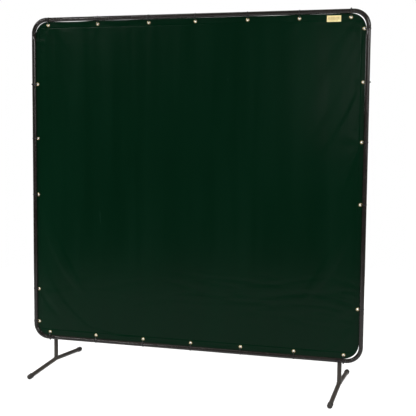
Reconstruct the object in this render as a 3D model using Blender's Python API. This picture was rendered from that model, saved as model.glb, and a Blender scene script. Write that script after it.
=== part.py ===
"""Welding curtain screen: a round-tube frame, a tied vinyl curtain and two bolted T-legs.

Metres, +Z up, +X along the screen, +Y to its back. The origin is on the floor, midway between
the two legs. The frame hangs in front of the leg posts, so its plane lies at negative Y.
"""
from math import acos, atan2, cos, pi, radians, sin, sqrt, tan

import bmesh
import bpy
from mathutils import Vector

# Frame of round tube
FRAME_WIDTH = 1.83
FRAME_HEIGHT = 1.77
GROUND_CLEARANCE = 0.150      # floor to the underside of the bottom rail
TUBE_RADIUS = 0.0111
TUBE_WALL = 0.0012
CORNER_RADIUS = 0.075         # bend radius of a corner's centreline
SPIGOT_LENGTH = 0.045         # reduced end of a corner, pushed into a straight tube
GAP = 0.0003                  # running gap between pieces that touch

# Spring buttons that lock a corner in a straight tube
BUTTON_RADIUS = 0.003
BUTTON_HEIGHT = 0.0025        # dome above the tube
BUTTON_FROM_SPIGOT_END = 0.020
BUTTON_ROOT = 0.0015          # length inside the spigot's wall
BUTTON_DOME = ((1, 0), (0.8, 0.7), (0.35, 1))   # shares of its radius and height

# Curtain and its eyelet holes
CURTAIN_THICKNESS = 0.0015
CURTAIN_SIDE_GAP = 0.0008     # curtain edge to side tube
CURTAIN_END_GAP = 0.0015      # curtain edge to top and bottom rail
CURTAIN_CORNER_RADIUS = 0.075
EYELET_RADIUS = 0.0045
EYELET_SIDE_INSET = 0.0085    # curtain edge to eyelet centre, at the sides
EYELET_END_INSET = 0.0173     # the same, at top and bottom
EYELET_CUT = 0.006            # length of the tool that makes a hole

# Cable ties
TIE_WIDTH = 0.0046
TIE_THICKNESS = 0.0012
TIE_TURN_RADIUS = 0.003       # strap's bend where it passes through an eyelet
TIE_HEAD = (0.0065, 0.0080, 0.0036)   # round the tube, along the tube, outwards
TIE_FROM_JOINT = 0.0115       # end of a straight tube to its first tie
TOP_TIE_STEPS = (0.289, 0.289, 0.256, 0.277, 0.265, 0.256)       # relative spacing, left to right
BOTTOM_TIE_STEPS = (0.279, 0.278, 0.272, 0.276, 0.285, 0.258)
SIDE_TIE_STEPS = (0.26, 0.295, 0.31, 0.527, 0.183)    # relative spacing, top to bottom
LEFT_TIES = (1, 2, 3, 4, 5)   # places that are used, counted from the top
RIGHT_TIES = (0, 1, 2, 3, 4)
HEAD_TURN = radians(65)       # head's place, from straight outwards towards the back
HEADS_OUTWARDS = ("tie_top_7", "tie_bottom_1", "tie_bottom_7", "tie_left_1", "tie_right_2")

# Label patch sewn to the curtain
LABEL_WIDTH = 0.070
LABEL_HEIGHT = 0.031
LABEL_THICKNESS = 0.0005
LABEL_FROM_END_TIE = 0.084    # last top tie to the label's centre
LABEL_FROM_EDGE = 0.0073      # curtain's top edge to the label

# Legs
BOLT_FROM_SPIGOT_END = 0.011
BOLT_RADIUS = 0.003
BOLT_CLEARANCE = 0.0003
BOLT_HEAD_RADIUS = 0.0072
BOLT_HEAD_HEIGHT = 0.0034
BOLT_HEAD_DOME = ((0.45, 0.9), (0.8, 0.55), (1, 0.1), (1, 0))   # shares of its radius and height
BOLT_CHAMFER = 0.001
BOLT_END = 0.004              # thread left standing behind the wing nut's hub
SPACER_RADIUS = 0.010
SPACER_THICKNESS = 0.003
WASHER_RADIUS = 0.008
WASHER_THICKNESS = 0.0015
POST_LAP = 0.045              # post above its bolt
PLUG_FLANGE = 0.0022
PLUG_DEPTH = 0.014
PLUG_CHAMFER = 0.0022         # how far the flange's top edge slopes inwards
COPE_REACH = 0.033            # half the length of the tool that copes a post
FOOT_LENGTH = 0.650           # over both caps
FOOT_RISE = 0.022             # middle of the foot above its tips
FOOT_BEND_RADIUS = 0.150
CAP_LENGTH = 0.034
CAP_WALL = 0.0020
CAP_END_WALL = 0.004
CAP_ROUNDING = 0.008
SOLE_DEPTH = 0.0016           # flat worn on the underside of a cap

# Wing nut
HUB_RADIUS = 0.0058
HUB_TOP_RADIUS = 0.0046
HUB_HEIGHT = 0.0070
WING_SPAN = 0.0140
WING_HEIGHT = 0.0125
WING_THICKNESS = 0.0022
WING_ROOT = (0.3, 0.85)       # shares of the hub's height where a wing leaves it
WING_FOOT = (0.75, 0.45)      # share of the span, share of the hub's height
WING_TIP = ((1, 0.7), (0.97, 1), (0.72, 1))     # shares of the span and the wing's height

# Facets
TUBE_SIDES = 16
BEND_STEPS = 8
FOOT_BEND_STEPS = 3
CAP_STEPS = 4
TIE_ARC_STEPS = 9
TIE_TURN_STEPS = 3
SMALL_SIDES = 12
EYELET_SIDES = 8

# Places that follow from the sizes above
BORE_RADIUS = TUBE_RADIUS - TUBE_WALL
SPIGOT_RADIUS = BORE_RADIUS - GAP
SPIGOT_BORE = SPIGOT_RADIUS - TUBE_WALL
CORNER_REACH = CORNER_RADIUS + TUBE_RADIUS         # outer edge to the end of the bend
HALF_RAIL = FRAME_WIDTH / 2 - CORNER_REACH
HALF_SIDE = FRAME_HEIGHT / 2 - CORNER_REACH
RAIL_OFFSET = FRAME_HEIGHT / 2 - TUBE_RADIUS       # frame centre to a rail's centreline
SIDE_OFFSET = FRAME_WIDTH / 2 - TUBE_RADIUS
POST_TO_RAIL = 2 * TUBE_RADIUS + SPACER_THICKNESS + 2 * GAP
FRAME_CENTRE = Vector((0, -POST_TO_RAIL, GROUND_CLEARANCE + FRAME_HEIGHT / 2))
BOLT_HEIGHT = GROUND_CLEARANCE + TUBE_RADIUS
BOLT_X = HALF_RAIL - SPIGOT_LENGTH + BOLT_FROM_SPIGOT_END
BUTTON_FROM_JOINT = SPIGOT_LENGTH - BUTTON_FROM_SPIGOT_END
CURTAIN_HALF_WIDTH = FRAME_WIDTH / 2 - 2 * TUBE_RADIUS - CURTAIN_SIDE_GAP
CURTAIN_HALF_HEIGHT = FRAME_HEIGHT / 2 - 2 * TUBE_RADIUS - CURTAIN_END_GAP
CAP_RADIUS = TUBE_RADIUS + GAP + CAP_WALL
NUT_FACE = TUBE_RADIUS + GAP + WASHER_THICKNESS + GAP   # post centre to the hub's seat

X_AXIS = Vector((1, 0, 0))
Y_AXIS = Vector((0, 1, 0))
Z_AXIS = Vector((0, 0, 1))


def clear_scene():
    for obj in list(bpy.data.objects):
        bpy.data.objects.remove(obj, do_unlink=True)


def material(name, colour, roughness, metallic):
    mat = bpy.data.materials.new(name)
    mat.use_nodes = True
    shader = mat.node_tree.nodes["Principled BSDF"]
    shader.inputs["Base Color"].default_value = (*colour, 1)
    shader.inputs["Roughness"].default_value = roughness
    shader.inputs["Metallic"].default_value = metallic
    return mat


def add_object(name, mesh, mat=None, parent=None, location=(0, 0, 0), turn_y=0.0):
    obj = bpy.data.objects.new(name, mesh)
    bpy.context.collection.objects.link(obj)
    obj.parent = parent
    obj.location = location
    obj.rotation_euler = (0, turn_y, 0)
    if mat and not mesh.materials:
        mesh.materials.append(mat)
    return obj


def add_empty(name, location):
    empty = bpy.data.objects.new(name, None)
    bpy.context.collection.objects.link(empty)
    empty.location = location
    return empty


def finish_mesh(bm, name, sharp=radians(35)):
    bmesh.ops.recalc_face_normals(bm, faces=bm.faces)
    mesh = bpy.data.meshes.new(name)
    bm.to_mesh(mesh)
    bm.free()
    mesh.shade_smooth()
    mesh.set_sharp_from_angle(angle=sharp)
    return mesh


def ring(bm, centre, across, up, radius, sides):
    """A circle of vertices in the plane of the unit vectors across and up."""
    turns = [2 * pi * (i + 0.5) / sides for i in range(sides)]
    return [bm.verts.new(centre + radius * (cos(t) * across + sin(t) * up)) for t in turns]


def join_rings(bm, first, second):
    count = len(first)
    for i in range(count):
        j = (i + 1) % count
        bm.faces.new((first[i], first[j], second[j], second[i]))


def swept_tube(name, outer, inner, binormal, sides=TUBE_SIDES):
    """Open tube along a plane path. outer and inner list (centre, tangent, radius)."""
    bm = bmesh.new()
    loops = []
    for centre, tangent, radius in outer + inner[::-1]:
        loops.append(ring(bm, centre, tangent.cross(binormal), binormal, radius, sides))
    for first, second in zip(loops, loops[1:] + loops[:1]):
        join_rings(bm, first, second)
    return finish_mesh(bm, name)


def turned(name, profile, axis, across, closed=False, sides=SMALL_SIDES):
    """Solid of revolution from (radius, height) points; closed for a ring round its axis."""
    bm = bmesh.new()
    up = axis.cross(across)
    loops = []
    for radius, height in profile:
        if radius == 0:
            loops.append([bm.verts.new(axis * height)])
        else:
            loops.append(ring(bm, axis * height, across, up, radius, sides))
    pairs = list(zip(loops, loops[1:]))
    if closed:
        pairs.append((loops[-1], loops[0]))
    for first, second in pairs:
        if len(first) == 1 or len(second) == 1:
            tip, loop = (first[0], second) if len(first) == 1 else (second[0], first)
            for i in range(sides):
                bm.faces.new((tip, loop[i], loop[(i + 1) % sides]))
        else:
            join_rings(bm, first, second)
    return finish_mesh(bm, name)


def box_mesh(name, low, high):
    bm = bmesh.new()
    bmesh.ops.create_cube(bm, size=1)
    low, high = Vector(low), Vector(high)
    for vert in bm.verts:
        vert.co = low + Vector(((vert.co[i] + 0.5) * (high[i] - low[i]) for i in range(3)))
    return finish_mesh(bm, name)


def prism(name, outline, low, high):
    """Outline of (x, z) points, extruded along Y from low to high."""
    bm = bmesh.new()
    front = [bm.verts.new((x, low, z)) for x, z in outline]
    back = [bm.verts.new((x, high, z)) for x, z in outline]
    bm.faces.new(front)
    bm.faces.new(back[::-1])
    join_rings(bm, front, back)
    return finish_mesh(bm, name)


def make_guide(obj):
    """Cutters and union blocks only shape other objects."""
    obj.hide_render = True
    obj.display_type = "WIRE"
    return obj


def boolean(obj, other, operation="DIFFERENCE"):
    modifier = obj.modifiers.new(other.name, "BOOLEAN")
    modifier.operation = operation
    modifier.solver = "EXACT"
    modifier.object = other


def cross_cutter(name, radius, low, high, parent, location):
    """Round cutter along Y, from low to high."""
    profile = [(0, low), (radius, low), (radius, high), (0, high)]
    mesh = turned(name, profile, Y_AXIS, X_AXIS)
    return make_guide(add_object(name, mesh, parent=parent, location=location))


def arc_outline(centre, radius, start, steps):
    """Quarter circle of (x, z) points from the angle start."""
    turns = [start + pi / 2 * i / steps for i in range(steps + 1)]
    return [(centre[0] + radius * cos(t), centre[1] + radius * sin(t)) for t in turns]


def straight_mesh(name, half_length):
    """Plain tube along Z, a running gap short of the corners' shoulders."""
    ends = [Vector((0, 0, -half_length + GAP)), Vector((0, 0, half_length - GAP))]
    outer = [(end, Z_AXIS, TUBE_RADIUS) for end in ends]
    inner = [(end, Z_AXIS, BORE_RADIUS) for end in ends]
    return swept_tube(name, outer, inner, Y_AXIS)


def corner_mesh():
    """Quarter bend about the origin in the XZ plane, with a reduced spigot at each end."""
    bend = []
    for i in range(BEND_STEPS + 1):
        turn = pi / 2 * i / BEND_STEPS
        centre = CORNER_RADIUS * Vector((cos(turn), 0, sin(turn)))
        bend.append((centre, Vector((-sin(turn), 0, cos(turn)))))
    (first, first_way), (last, last_way) = bend[0], bend[-1]
    first_tip = first - first_way * SPIGOT_LENGTH
    last_tip = last + last_way * SPIGOT_LENGTH
    outer = [(first_tip, first_way, SPIGOT_RADIUS), (first, first_way, SPIGOT_RADIUS)]
    outer += [(centre, way, TUBE_RADIUS) for centre, way in bend]
    outer += [(last, last_way, SPIGOT_RADIUS), (last_tip, last_way, SPIGOT_RADIUS)]
    inner = [(first_tip, first_way, SPIGOT_BORE)]
    inner += [(centre, way, SPIGOT_BORE) for centre, way in bend]
    inner += [(last_tip, last_way, SPIGOT_BORE)]
    return swept_tube("corner", outer, inner, Y_AXIS)


def build_frame(mats, frame):
    rail = straight_mesh("rail", HALF_RAIL)
    side = straight_mesh("side", HALF_SIDE)
    bend = corner_mesh()
    tubes = {
        "rail_top": add_object("rail_top", rail, mats["steel"], frame,
                               (0, 0, RAIL_OFFSET), pi / 2),
        "rail_bottom": add_object("rail_bottom", rail, mats["steel"], frame,
                                  (0, 0, -RAIL_OFFSET), pi / 2),
        "side_tube_left": add_object("side_tube_left", side, mats["steel"], frame,
                                     (-SIDE_OFFSET, 0, 0)),
        "side_tube_right": add_object("side_tube_right", side, mats["steel"], frame,
                                      (SIDE_OFFSET, 0, 0)),
    }
    turns = {"top_right": 0, "top_left": -pi / 2, "bottom_left": pi, "bottom_right": pi / 2}
    for place, turn in turns.items():
        x = HALF_RAIL if place.endswith("right") else -HALF_RAIL
        z = HALF_SIDE if place.startswith("top") else -HALF_SIDE
        name = "corner_" + place
        tubes[name] = add_object(name, bend, mats["steel"], frame, (x, 0, z), turn)
    return tubes


def button_mesh():
    """Pin with a domed end, along Y from the tube's centreline outwards."""
    low = SPIGOT_BORE - BUTTON_ROOT
    top = TUBE_RADIUS + BUTTON_HEIGHT
    dome = [(BUTTON_RADIUS * r, TUBE_RADIUS + BUTTON_HEIGHT * h) for r, h in BUTTON_DOME]
    profile = [(0, low), (BUTTON_RADIUS, low)] + dome + [(0, top)]
    return turned("snap_button", profile, Y_AXIS, X_AXIS)


def build_buttons(mats, frame, tubes):
    """One spring button through each joint that no leg bolt pins."""
    mesh = button_mesh()
    along_rail = HALF_RAIL - BUTTON_FROM_JOINT
    along_side = HALF_SIDE - BUTTON_FROM_JOINT
    joints = [
        ("top_left", (-along_rail, RAIL_OFFSET), "rail_top", "corner_top_left"),
        ("top_right", (along_rail, RAIL_OFFSET), "rail_top", "corner_top_right"),
        ("left_upper", (-SIDE_OFFSET, along_side), "side_tube_left", "corner_top_left"),
        ("left_lower", (-SIDE_OFFSET, -along_side), "side_tube_left", "corner_bottom_left"),
        ("right_upper", (SIDE_OFFSET, along_side), "side_tube_right", "corner_top_right"),
        ("right_lower", (SIDE_OFFSET, -along_side), "side_tube_right", "corner_bottom_right"),
    ]
    for place, (x, z), tube, corner in joints:
        location = (x, 0, z)
        add_object("snap_button_" + place, mesh, mats["zinc"], frame, location)
        cutter = cross_cutter("button_hole_" + place, BUTTON_RADIUS + GAP, 0,
                              2 * TUBE_RADIUS, frame, location)
        boolean(tubes[tube], cutter)
        boolean(tubes[corner], cutter)


def spread_places(end, steps):
    """Places from -end to end whose spacing follows the relative steps."""
    scale = 2 * end / sum(steps)
    return [scale * sum(steps[:i]) - end for i in range(len(steps) + 1)]


def tie_places():
    """Name, tube centre, eyelet centre and turn about Y for each tie, in the frame's plane."""
    end_eyelet = CURTAIN_HALF_HEIGHT - EYELET_END_INSET
    side_eyelet = CURTAIN_HALF_WIDTH - EYELET_SIDE_INSET
    places = []
    rail_end = HALF_RAIL - TIE_FROM_JOINT
    for number, x in enumerate(spread_places(rail_end, TOP_TIE_STEPS), 1):
        places.append((f"tie_top_{number}", (x, RAIL_OFFSET), (x, end_eyelet), 0))
    for number, x in enumerate(spread_places(rail_end, BOTTOM_TIE_STEPS), 1):
        places.append((f"tie_bottom_{number}", (x, -RAIL_OFFSET), (x, -end_eyelet), pi))
    heights = [-z for z in spread_places(HALF_SIDE - TIE_FROM_JOINT, SIDE_TIE_STEPS)]
    for number, index in enumerate(LEFT_TIES, 1):
        z = heights[index]
        places.append((f"tie_left_{number}", (-SIDE_OFFSET, z), (-side_eyelet, z), -pi / 2))
    for number, index in enumerate(RIGHT_TIES, 1):
        z = heights[index]
        places.append((f"tie_right_{number}", (SIDE_OFFSET, z), (side_eyelet, z), pi / 2))
    return places


def curtain_outline():
    x = CURTAIN_HALF_WIDTH - CURTAIN_CORNER_RADIUS
    z = CURTAIN_HALF_HEIGHT - CURTAIN_CORNER_RADIUS
    outline = []
    for quarter, centre in enumerate(((x, z), (-x, z), (-x, -z), (x, -z))):
        outline += arc_outline(centre, CURTAIN_CORNER_RADIUS, quarter * pi / 2, BEND_STEPS)
    return outline


def build_curtain(mats, frame, places):
    half = CURTAIN_THICKNESS / 2
    mesh = prism("curtain", curtain_outline(), -half, half)
    curtain = add_object("curtain", mesh, mats["vinyl"], frame)
    bm = bmesh.new()
    through = Y_AXIS * EYELET_CUT / 2
    for _, _, (x, z), _ in places:
        centre = Vector((x, 0, z))
        low = ring(bm, centre - through, X_AXIS, Z_AXIS, EYELET_RADIUS, EYELET_SIDES)
        high = ring(bm, centre + through, X_AXIS, Z_AXIS, EYELET_RADIUS, EYELET_SIDES)
        bm.faces.new(low)
        bm.faces.new(high[::-1])
        join_rings(bm, low, high)
    holes = make_guide(add_object("eyelet_holes", finish_mesh(bm, "eyelet_holes"), parent=frame))
    boolean(curtain, holes)


def tie_path(reach):
    """Centreline of a strap in (inwards, back) points: round the tube and out to the eyelet."""
    tube_turn = TUBE_RADIUS + GAP + TIE_THICKNESS / 2
    far = reach - TIE_TURN_RADIUS
    tangent = acos((tube_turn - TIE_TURN_RADIUS) / far)
    points = []
    step = (2 * pi - 2 * tangent) / TIE_ARC_STEPS
    radius = tube_turn / cos(step / 2)
    for i in range(TIE_ARC_STEPS + 1):
        turn = tangent + step * i
        points.append((radius * cos(turn), radius * sin(turn)))
    step = 2 * tangent / TIE_TURN_STEPS
    for i in range(TIE_TURN_STEPS + 1):
        turn = -tangent + step * i
        points.append((far + TIE_TURN_RADIUS * cos(turn), TIE_TURN_RADIUS * sin(turn)))
    return points


def strap_mesh(name, reach):
    """Closed loop of flat strap; the tube runs along X, and inwards is -Z."""
    bm = bmesh.new()
    path = tie_path(reach)
    count = len(path)
    loops = []
    for i in range(count):
        before, here, after = (Vector(path[(i + k) % count]) for k in (-1, 0, 1))
        way_in = (here - before).normalized()
        way_out = (after - here).normalized()
        bisector = (way_in + way_out).normalized()
        mitre = 1 / max(bisector.dot(way_in), 0.5)
        normal = Vector((bisector.y, -bisector.x)) * mitre * TIE_THICKNESS / 2
        loop = []
        for across, side in ((-1, -1), (1, -1), (1, 1), (-1, 1)):
            inwards, back = here + normal * side
            loop.append(bm.verts.new((across * TIE_WIDTH / 2, back, -inwards)))
        loops.append(loop)
    for first, second in zip(loops, loops[1:] + loops[:1]):
        join_rings(bm, first, second)
    return finish_mesh(bm, name)


def head_mesh(name, turn):
    """Block of a tie's head outside the tube, turned from straight outwards to the back."""
    length, width, height = TIE_HEAD
    low = TUBE_RADIUS + GAP + TIE_THICKNESS / 4
    mesh = box_mesh(name, (-width / 2, -length / 2, low), (width / 2, length / 2, low + height))
    for vert in mesh.vertices:
        x, y, z = vert.co
        vert.co = (x, y * cos(turn) + z * sin(turn), z * cos(turn) - y * sin(turn))
    return mesh


def strap_reach(tube, eyelet):
    """Tube centre to the strap where it bears on the near edge of its eyelet hole."""
    span = sqrt((tube[0] - eyelet[0]) ** 2 + (tube[1] - eyelet[1]) ** 2)
    free_radius = EYELET_RADIUS * cos(pi / EYELET_SIDES) - GAP
    return span - (sqrt(free_radius ** 2 - (TIE_WIDTH / 2) ** 2) - TIE_THICKNESS / 2)


def build_ties(mats, frame, places):
    straps = {}
    heads = {turn: head_mesh("tie_head", turn) for turn in (0, HEAD_TURN)}
    for name, tube, eyelet, turn in places:
        reach = strap_reach(tube, eyelet)
        key = round(reach, 6)
        if key not in straps:
            straps[key] = strap_mesh("tie", reach)
        location = (tube[0], 0, tube[1])
        tie = add_object(name, straps[key], mats["tie"], frame, location, turn)
        head_turn = 0 if name in HEADS_OUTWARDS else HEAD_TURN
        head = add_object(name + "_head", heads[head_turn], parent=frame, location=location,
                          turn_y=turn)
        boolean(tie, make_guide(head), "UNION")


def build_label(mats, frame):
    x = HALF_RAIL - TIE_FROM_JOINT - LABEL_FROM_END_TIE
    top = CURTAIN_HALF_HEIGHT - LABEL_FROM_EDGE
    back = -CURTAIN_THICKNESS / 2 - GAP
    low = (x - LABEL_WIDTH / 2, back - LABEL_THICKNESS, top - LABEL_HEIGHT)
    high = (x + LABEL_WIDTH / 2, back, top)
    add_object("label_patch", box_mesh("label_patch", low, high), mats["label"], frame)


def foot_slope():
    """Downward angle of each half of a foot, from its middle to its tips."""
    half = FOOT_LENGTH / 2 - CAP_RADIUS
    return atan2(FOOT_RISE, half)


def cap_axis_point(distance):
    """Foot centreline at this distance along one half from the cap's outer end, as (y, z)."""
    slope = foot_slope()
    y = FOOT_LENGTH / 2 - distance * cos(slope)
    return y, CAP_RADIUS - SOLE_DEPTH + distance * sin(slope)


def foot_path():
    """Stations of (centre, tangent) along the foot, front tip to back tip; z from the floor."""
    slope = foot_slope()
    end_y, end_z = cap_axis_point(CAP_END_WALL + GAP)
    bend_half = FOOT_BEND_RADIUS * sin(slope)
    bend_z = end_z + (end_y - bend_half) * tan(slope)
    centre_z = bend_z - FOOT_BEND_RADIUS * cos(slope)
    stations = [(Vector((0, -end_y, end_z)), Vector((0, cos(slope), sin(slope))))]
    for i in range(FOOT_BEND_STEPS + 1):
        turn = slope * (1 - 2 * i / FOOT_BEND_STEPS)
        y = -FOOT_BEND_RADIUS * sin(turn)
        z = centre_z + FOOT_BEND_RADIUS * cos(turn)
        stations.append((Vector((0, y, z)), Vector((0, cos(turn), sin(turn)))))
    stations.append((Vector((0, end_y, end_z)), Vector((0, cos(slope), -sin(slope)))))
    return [(centre - Z_AXIS * BOLT_HEIGHT, tangent) for centre, tangent in stations]


def foot_tube_mesh():
    path = foot_path()
    outer = [(centre, way, TUBE_RADIUS) for centre, way in path]
    inner = [(centre, way, BORE_RADIUS) for centre, way in path]
    return swept_tube("foot_tube", outer, inner, X_AXIS)


def foot_cutter_mesh():
    """Solid bar round the foot tube that copes the post's lower end."""
    bm = bmesh.new()
    loops = []
    for centre, tangent in foot_path()[1:-1]:
        spread = centre + Y_AXIS * (COPE_REACH if centre.y > 0 else -COPE_REACH)
        across = tangent.cross(X_AXIS)
        loops.append(ring(bm, spread, across, X_AXIS, TUBE_RADIUS + GAP, TUBE_SIDES))
    bm.faces.new(loops[0])
    bm.faces.new(loops[-1][::-1])
    for first, second in zip(loops, loops[1:]):
        join_rings(bm, first, second)
    return finish_mesh(bm, "foot_cutter")


def post_mesh():
    middle = foot_path()[len(foot_path()) // 2][0]
    ends = [Vector((0, 0, middle.z)), Vector((0, 0, POST_LAP))]
    outer = [(end, Z_AXIS, TUBE_RADIUS) for end in ends]
    inner = [(end, Z_AXIS, BORE_RADIUS) for end in ends]
    return swept_tube("leg_post", outer, inner, Y_AXIS)


def plug_mesh():
    """Push-in plug with a thin flange on the post's top end."""
    seat = POST_LAP + GAP
    top = seat + PLUG_FLANGE
    fit = BORE_RADIUS - GAP
    hollow = fit - TUBE_WALL
    profile = [(0, top), (TUBE_RADIUS - PLUG_CHAMFER, top), (TUBE_RADIUS, top - PLUG_FLANGE / 2),
               (TUBE_RADIUS, seat), (fit, seat), (fit, seat - PLUG_DEPTH),
               (hollow, seat - PLUG_DEPTH), (hollow, seat), (0, seat)]
    return turned("post_plug", profile, Z_AXIS, X_AXIS, sides=TUBE_SIDES)


def cap_mesh(side):
    """Rounded end cap on one tip of the foot; side is -1 at the front and 1 at the back."""
    slope = foot_slope()
    axis = Vector((0, side * cos(slope), -sin(slope)))
    grip = TUBE_RADIUS + GAP
    profile = [(0, 0)]
    for i in range(CAP_STEPS + 1):
        turn = pi / 2 * i / CAP_STEPS
        profile.append((CAP_RADIUS - CAP_ROUNDING * (1 - sin(turn)),
                        -CAP_ROUNDING * (1 - cos(turn))))
    profile += [(CAP_RADIUS, -CAP_LENGTH), (grip, -CAP_LENGTH), (grip, -CAP_END_WALL),
                (0, -CAP_END_WALL)]
    mesh = turned("foot_cap", profile, axis, X_AXIS, sides=TUBE_SIDES)
    y, z = cap_axis_point(0)
    for vert in mesh.vertices:
        vert.co += Vector((0, side * y, z - BOLT_HEIGHT))
    return mesh


def bolt_mesh():
    """Round-headed bolt along Y; its head bears on the front of the rail."""
    seat = -POST_TO_RAIL - TUBE_RADIUS - GAP
    end = NUT_FACE + HUB_HEIGHT + BOLT_END
    head = [(BOLT_HEAD_RADIUS * r, seat - BOLT_HEAD_HEIGHT * h) for r, h in BOLT_HEAD_DOME]
    shank = [(BOLT_RADIUS, seat), (BOLT_RADIUS, end - BOLT_CHAMFER),
             (BOLT_RADIUS - BOLT_CHAMFER, end)]
    profile = [(0, seat - BOLT_HEAD_HEIGHT)] + head + shank + [(0, end)]
    return turned("leg_bolt", profile, Y_AXIS, X_AXIS)


def washer_mesh(name, radius, low, high):
    hole = BOLT_RADIUS + BOLT_CLEARANCE
    profile = [(hole, low), (radius, low), (radius, high), (hole, high)]
    return turned(name, profile, Y_AXIS, X_AXIS, closed=True)


def hub_mesh():
    hole = BOLT_RADIUS + BOLT_CLEARANCE
    top = NUT_FACE + HUB_HEIGHT
    profile = [(hole, NUT_FACE), (HUB_RADIUS, NUT_FACE), (HUB_TOP_RADIUS, top), (hole, top)]
    return turned("wing_nut", profile, Y_AXIS, X_AXIS, closed=True)


def wing_mesh(side):
    """One wing of the nut, standing up and out from its hub."""
    inner = HUB_TOP_RADIUS - WING_THICKNESS / 4
    low, high = (HUB_HEIGHT * share for share in WING_ROOT)
    outline = [(inner, low), (WING_SPAN * WING_FOOT[0], HUB_HEIGHT * WING_FOOT[1])]
    outline += [(WING_SPAN * x, WING_HEIGHT * z) for x, z in WING_TIP]
    outline.append((inner, high))
    half = WING_THICKNESS / 2
    mesh = prism("wing", outline, -half, half)
    for vert in mesh.vertices:
        x, y, z = vert.co
        vert.co = (side * x, NUT_FACE + z, y * side)
    return mesh


def add_wings(nut, pivot, name):
    for side, place in ((-1, "a"), (1, "b")):
        wing = add_object(f"{name}_wing_{place}", wing_mesh(side), parent=pivot)
        wing.rotation_euler = nut.rotation_euler
        boolean(nut, make_guide(wing), "UNION")


def build_leg(mats, meshes, side, tubes):
    """One T-leg and its bolt. Its empty stands on the bolt's axis, which is the leg's hinge."""
    x = BOLT_X if side == "right" else -BOLT_X
    pivot = add_empty(f"leg_{side}_pivot", (x, 0, BOLT_HEIGHT))
    foot = make_guide(add_object(f"cope_{side}", meshes["cope"], parent=pivot))
    bolt_hole = cross_cutter(f"bolt_hole_{side}", BOLT_RADIUS + BOLT_CLEARANCE,
                             -POST_TO_RAIL - 2 * TUBE_RADIUS, 2 * TUBE_RADIUS, pivot, (0, 0, 0))
    floor = make_guide(add_object(f"floor_{side}", meshes["floor"], parent=pivot))
    post = add_object(f"leg_post_{side}", meshes["post"], mats["steel"], pivot)
    boolean(post, foot)
    boolean(post, bolt_hole)
    boolean(tubes["rail_bottom"], bolt_hole)
    boolean(tubes["corner_bottom_" + side], bolt_hole)
    add_object(f"foot_tube_{side}", meshes["foot"], mats["steel"], pivot)
    for place in ("front", "back"):
        cap = add_object(f"foot_cap_{side}_{place}", meshes["cap_" + place], mats["cap"], pivot)
        boolean(cap, floor)
    add_object(f"post_plug_{side}", meshes["plug"], mats["cap"], pivot)
    add_object(f"leg_bolt_{side}", meshes["bolt"], mats["bolt"], pivot)
    add_object(f"spacer_{side}", meshes["spacer"], mats["cap"], pivot)
    add_object(f"washer_{side}", meshes["washer"], mats["zinc"], pivot)
    nut = add_object(f"wing_nut_{side}", meshes["hub"], mats["zinc"], pivot)
    add_wings(nut, pivot, nut.name)


def leg_meshes():
    rail_back = -POST_TO_RAIL + TUBE_RADIUS + GAP
    post_back = TUBE_RADIUS + GAP
    reach = FOOT_LENGTH
    return {
        "cope": foot_cutter_mesh(),
        "floor": box_mesh("floor", (-reach, -reach, -BOLT_HEIGHT - reach),
                          (reach, reach, -BOLT_HEIGHT)),
        "post": post_mesh(),
        "foot": foot_tube_mesh(),
        "cap_front": cap_mesh(-1),
        "cap_back": cap_mesh(1),
        "plug": plug_mesh(),
        "bolt": bolt_mesh(),
        "spacer": washer_mesh("spacer", SPACER_RADIUS, rail_back, rail_back + SPACER_THICKNESS),
        "washer": washer_mesh("washer", WASHER_RADIUS, post_back, post_back + WASHER_THICKNESS),
        "hub": hub_mesh(),
    }


def build_materials():
    return {
        "steel": material("black_powder_coat", (0.022, 0.020, 0.019), 0.42, 0.0),
        "vinyl": material("green_vinyl", (0.006, 0.022, 0.012), 0.35, 0.0),
        "tie": material("black_nylon", (0.012, 0.012, 0.012), 0.5, 0.0),
        "cap": material("black_plastic", (0.018, 0.017, 0.016), 0.6, 0.0),
        "label": material("pale_yellow_print", (0.80, 0.66, 0.30), 0.5, 0.0),
        "zinc": material("zinc_plate", (0.50, 0.50, 0.48), 0.35, 1.0),
        "bolt": material("black_zinc", (0.05, 0.05, 0.05), 0.4, 1.0),
    }


def main():
    clear_scene()
    mats = build_materials()
    frame = add_empty("frame_plane", FRAME_CENTRE)
    tubes = build_frame(mats, frame)
    build_buttons(mats, frame, tubes)
    places = tie_places()
    build_curtain(mats, frame, places)
    build_ties(mats, frame, places)
    build_label(mats, frame)
    meshes = leg_meshes()
    for side in ("left", "right"):
        build_leg(mats, meshes, side, tubes)


main()
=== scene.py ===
import math
import random

import bmesh
import bpy
from mathutils import Matrix, Vector, noise
from mathutils.bvhtree import BVHTree


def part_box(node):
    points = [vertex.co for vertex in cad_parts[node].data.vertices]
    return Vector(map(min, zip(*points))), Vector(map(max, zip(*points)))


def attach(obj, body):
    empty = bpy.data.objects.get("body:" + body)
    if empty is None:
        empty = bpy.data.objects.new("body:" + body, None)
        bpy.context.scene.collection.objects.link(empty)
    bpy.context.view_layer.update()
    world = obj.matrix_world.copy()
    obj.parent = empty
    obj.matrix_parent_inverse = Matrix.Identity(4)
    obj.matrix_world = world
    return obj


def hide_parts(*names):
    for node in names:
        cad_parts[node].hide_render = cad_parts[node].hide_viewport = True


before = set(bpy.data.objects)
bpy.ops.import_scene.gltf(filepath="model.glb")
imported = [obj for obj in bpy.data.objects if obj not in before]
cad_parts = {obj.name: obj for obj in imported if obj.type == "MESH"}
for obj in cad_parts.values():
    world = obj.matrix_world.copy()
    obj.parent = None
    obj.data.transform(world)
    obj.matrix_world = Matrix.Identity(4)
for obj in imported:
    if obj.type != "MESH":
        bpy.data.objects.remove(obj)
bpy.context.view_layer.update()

random.seed(7)
print("frame loaded")

xWay, yWay, zWay = Vector((1, 0, 0)), Vector((0, 1, 0)), Vector((0, 0, 1))


def middle(node):
    low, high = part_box(node)
    return (low + high) / 2


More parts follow.
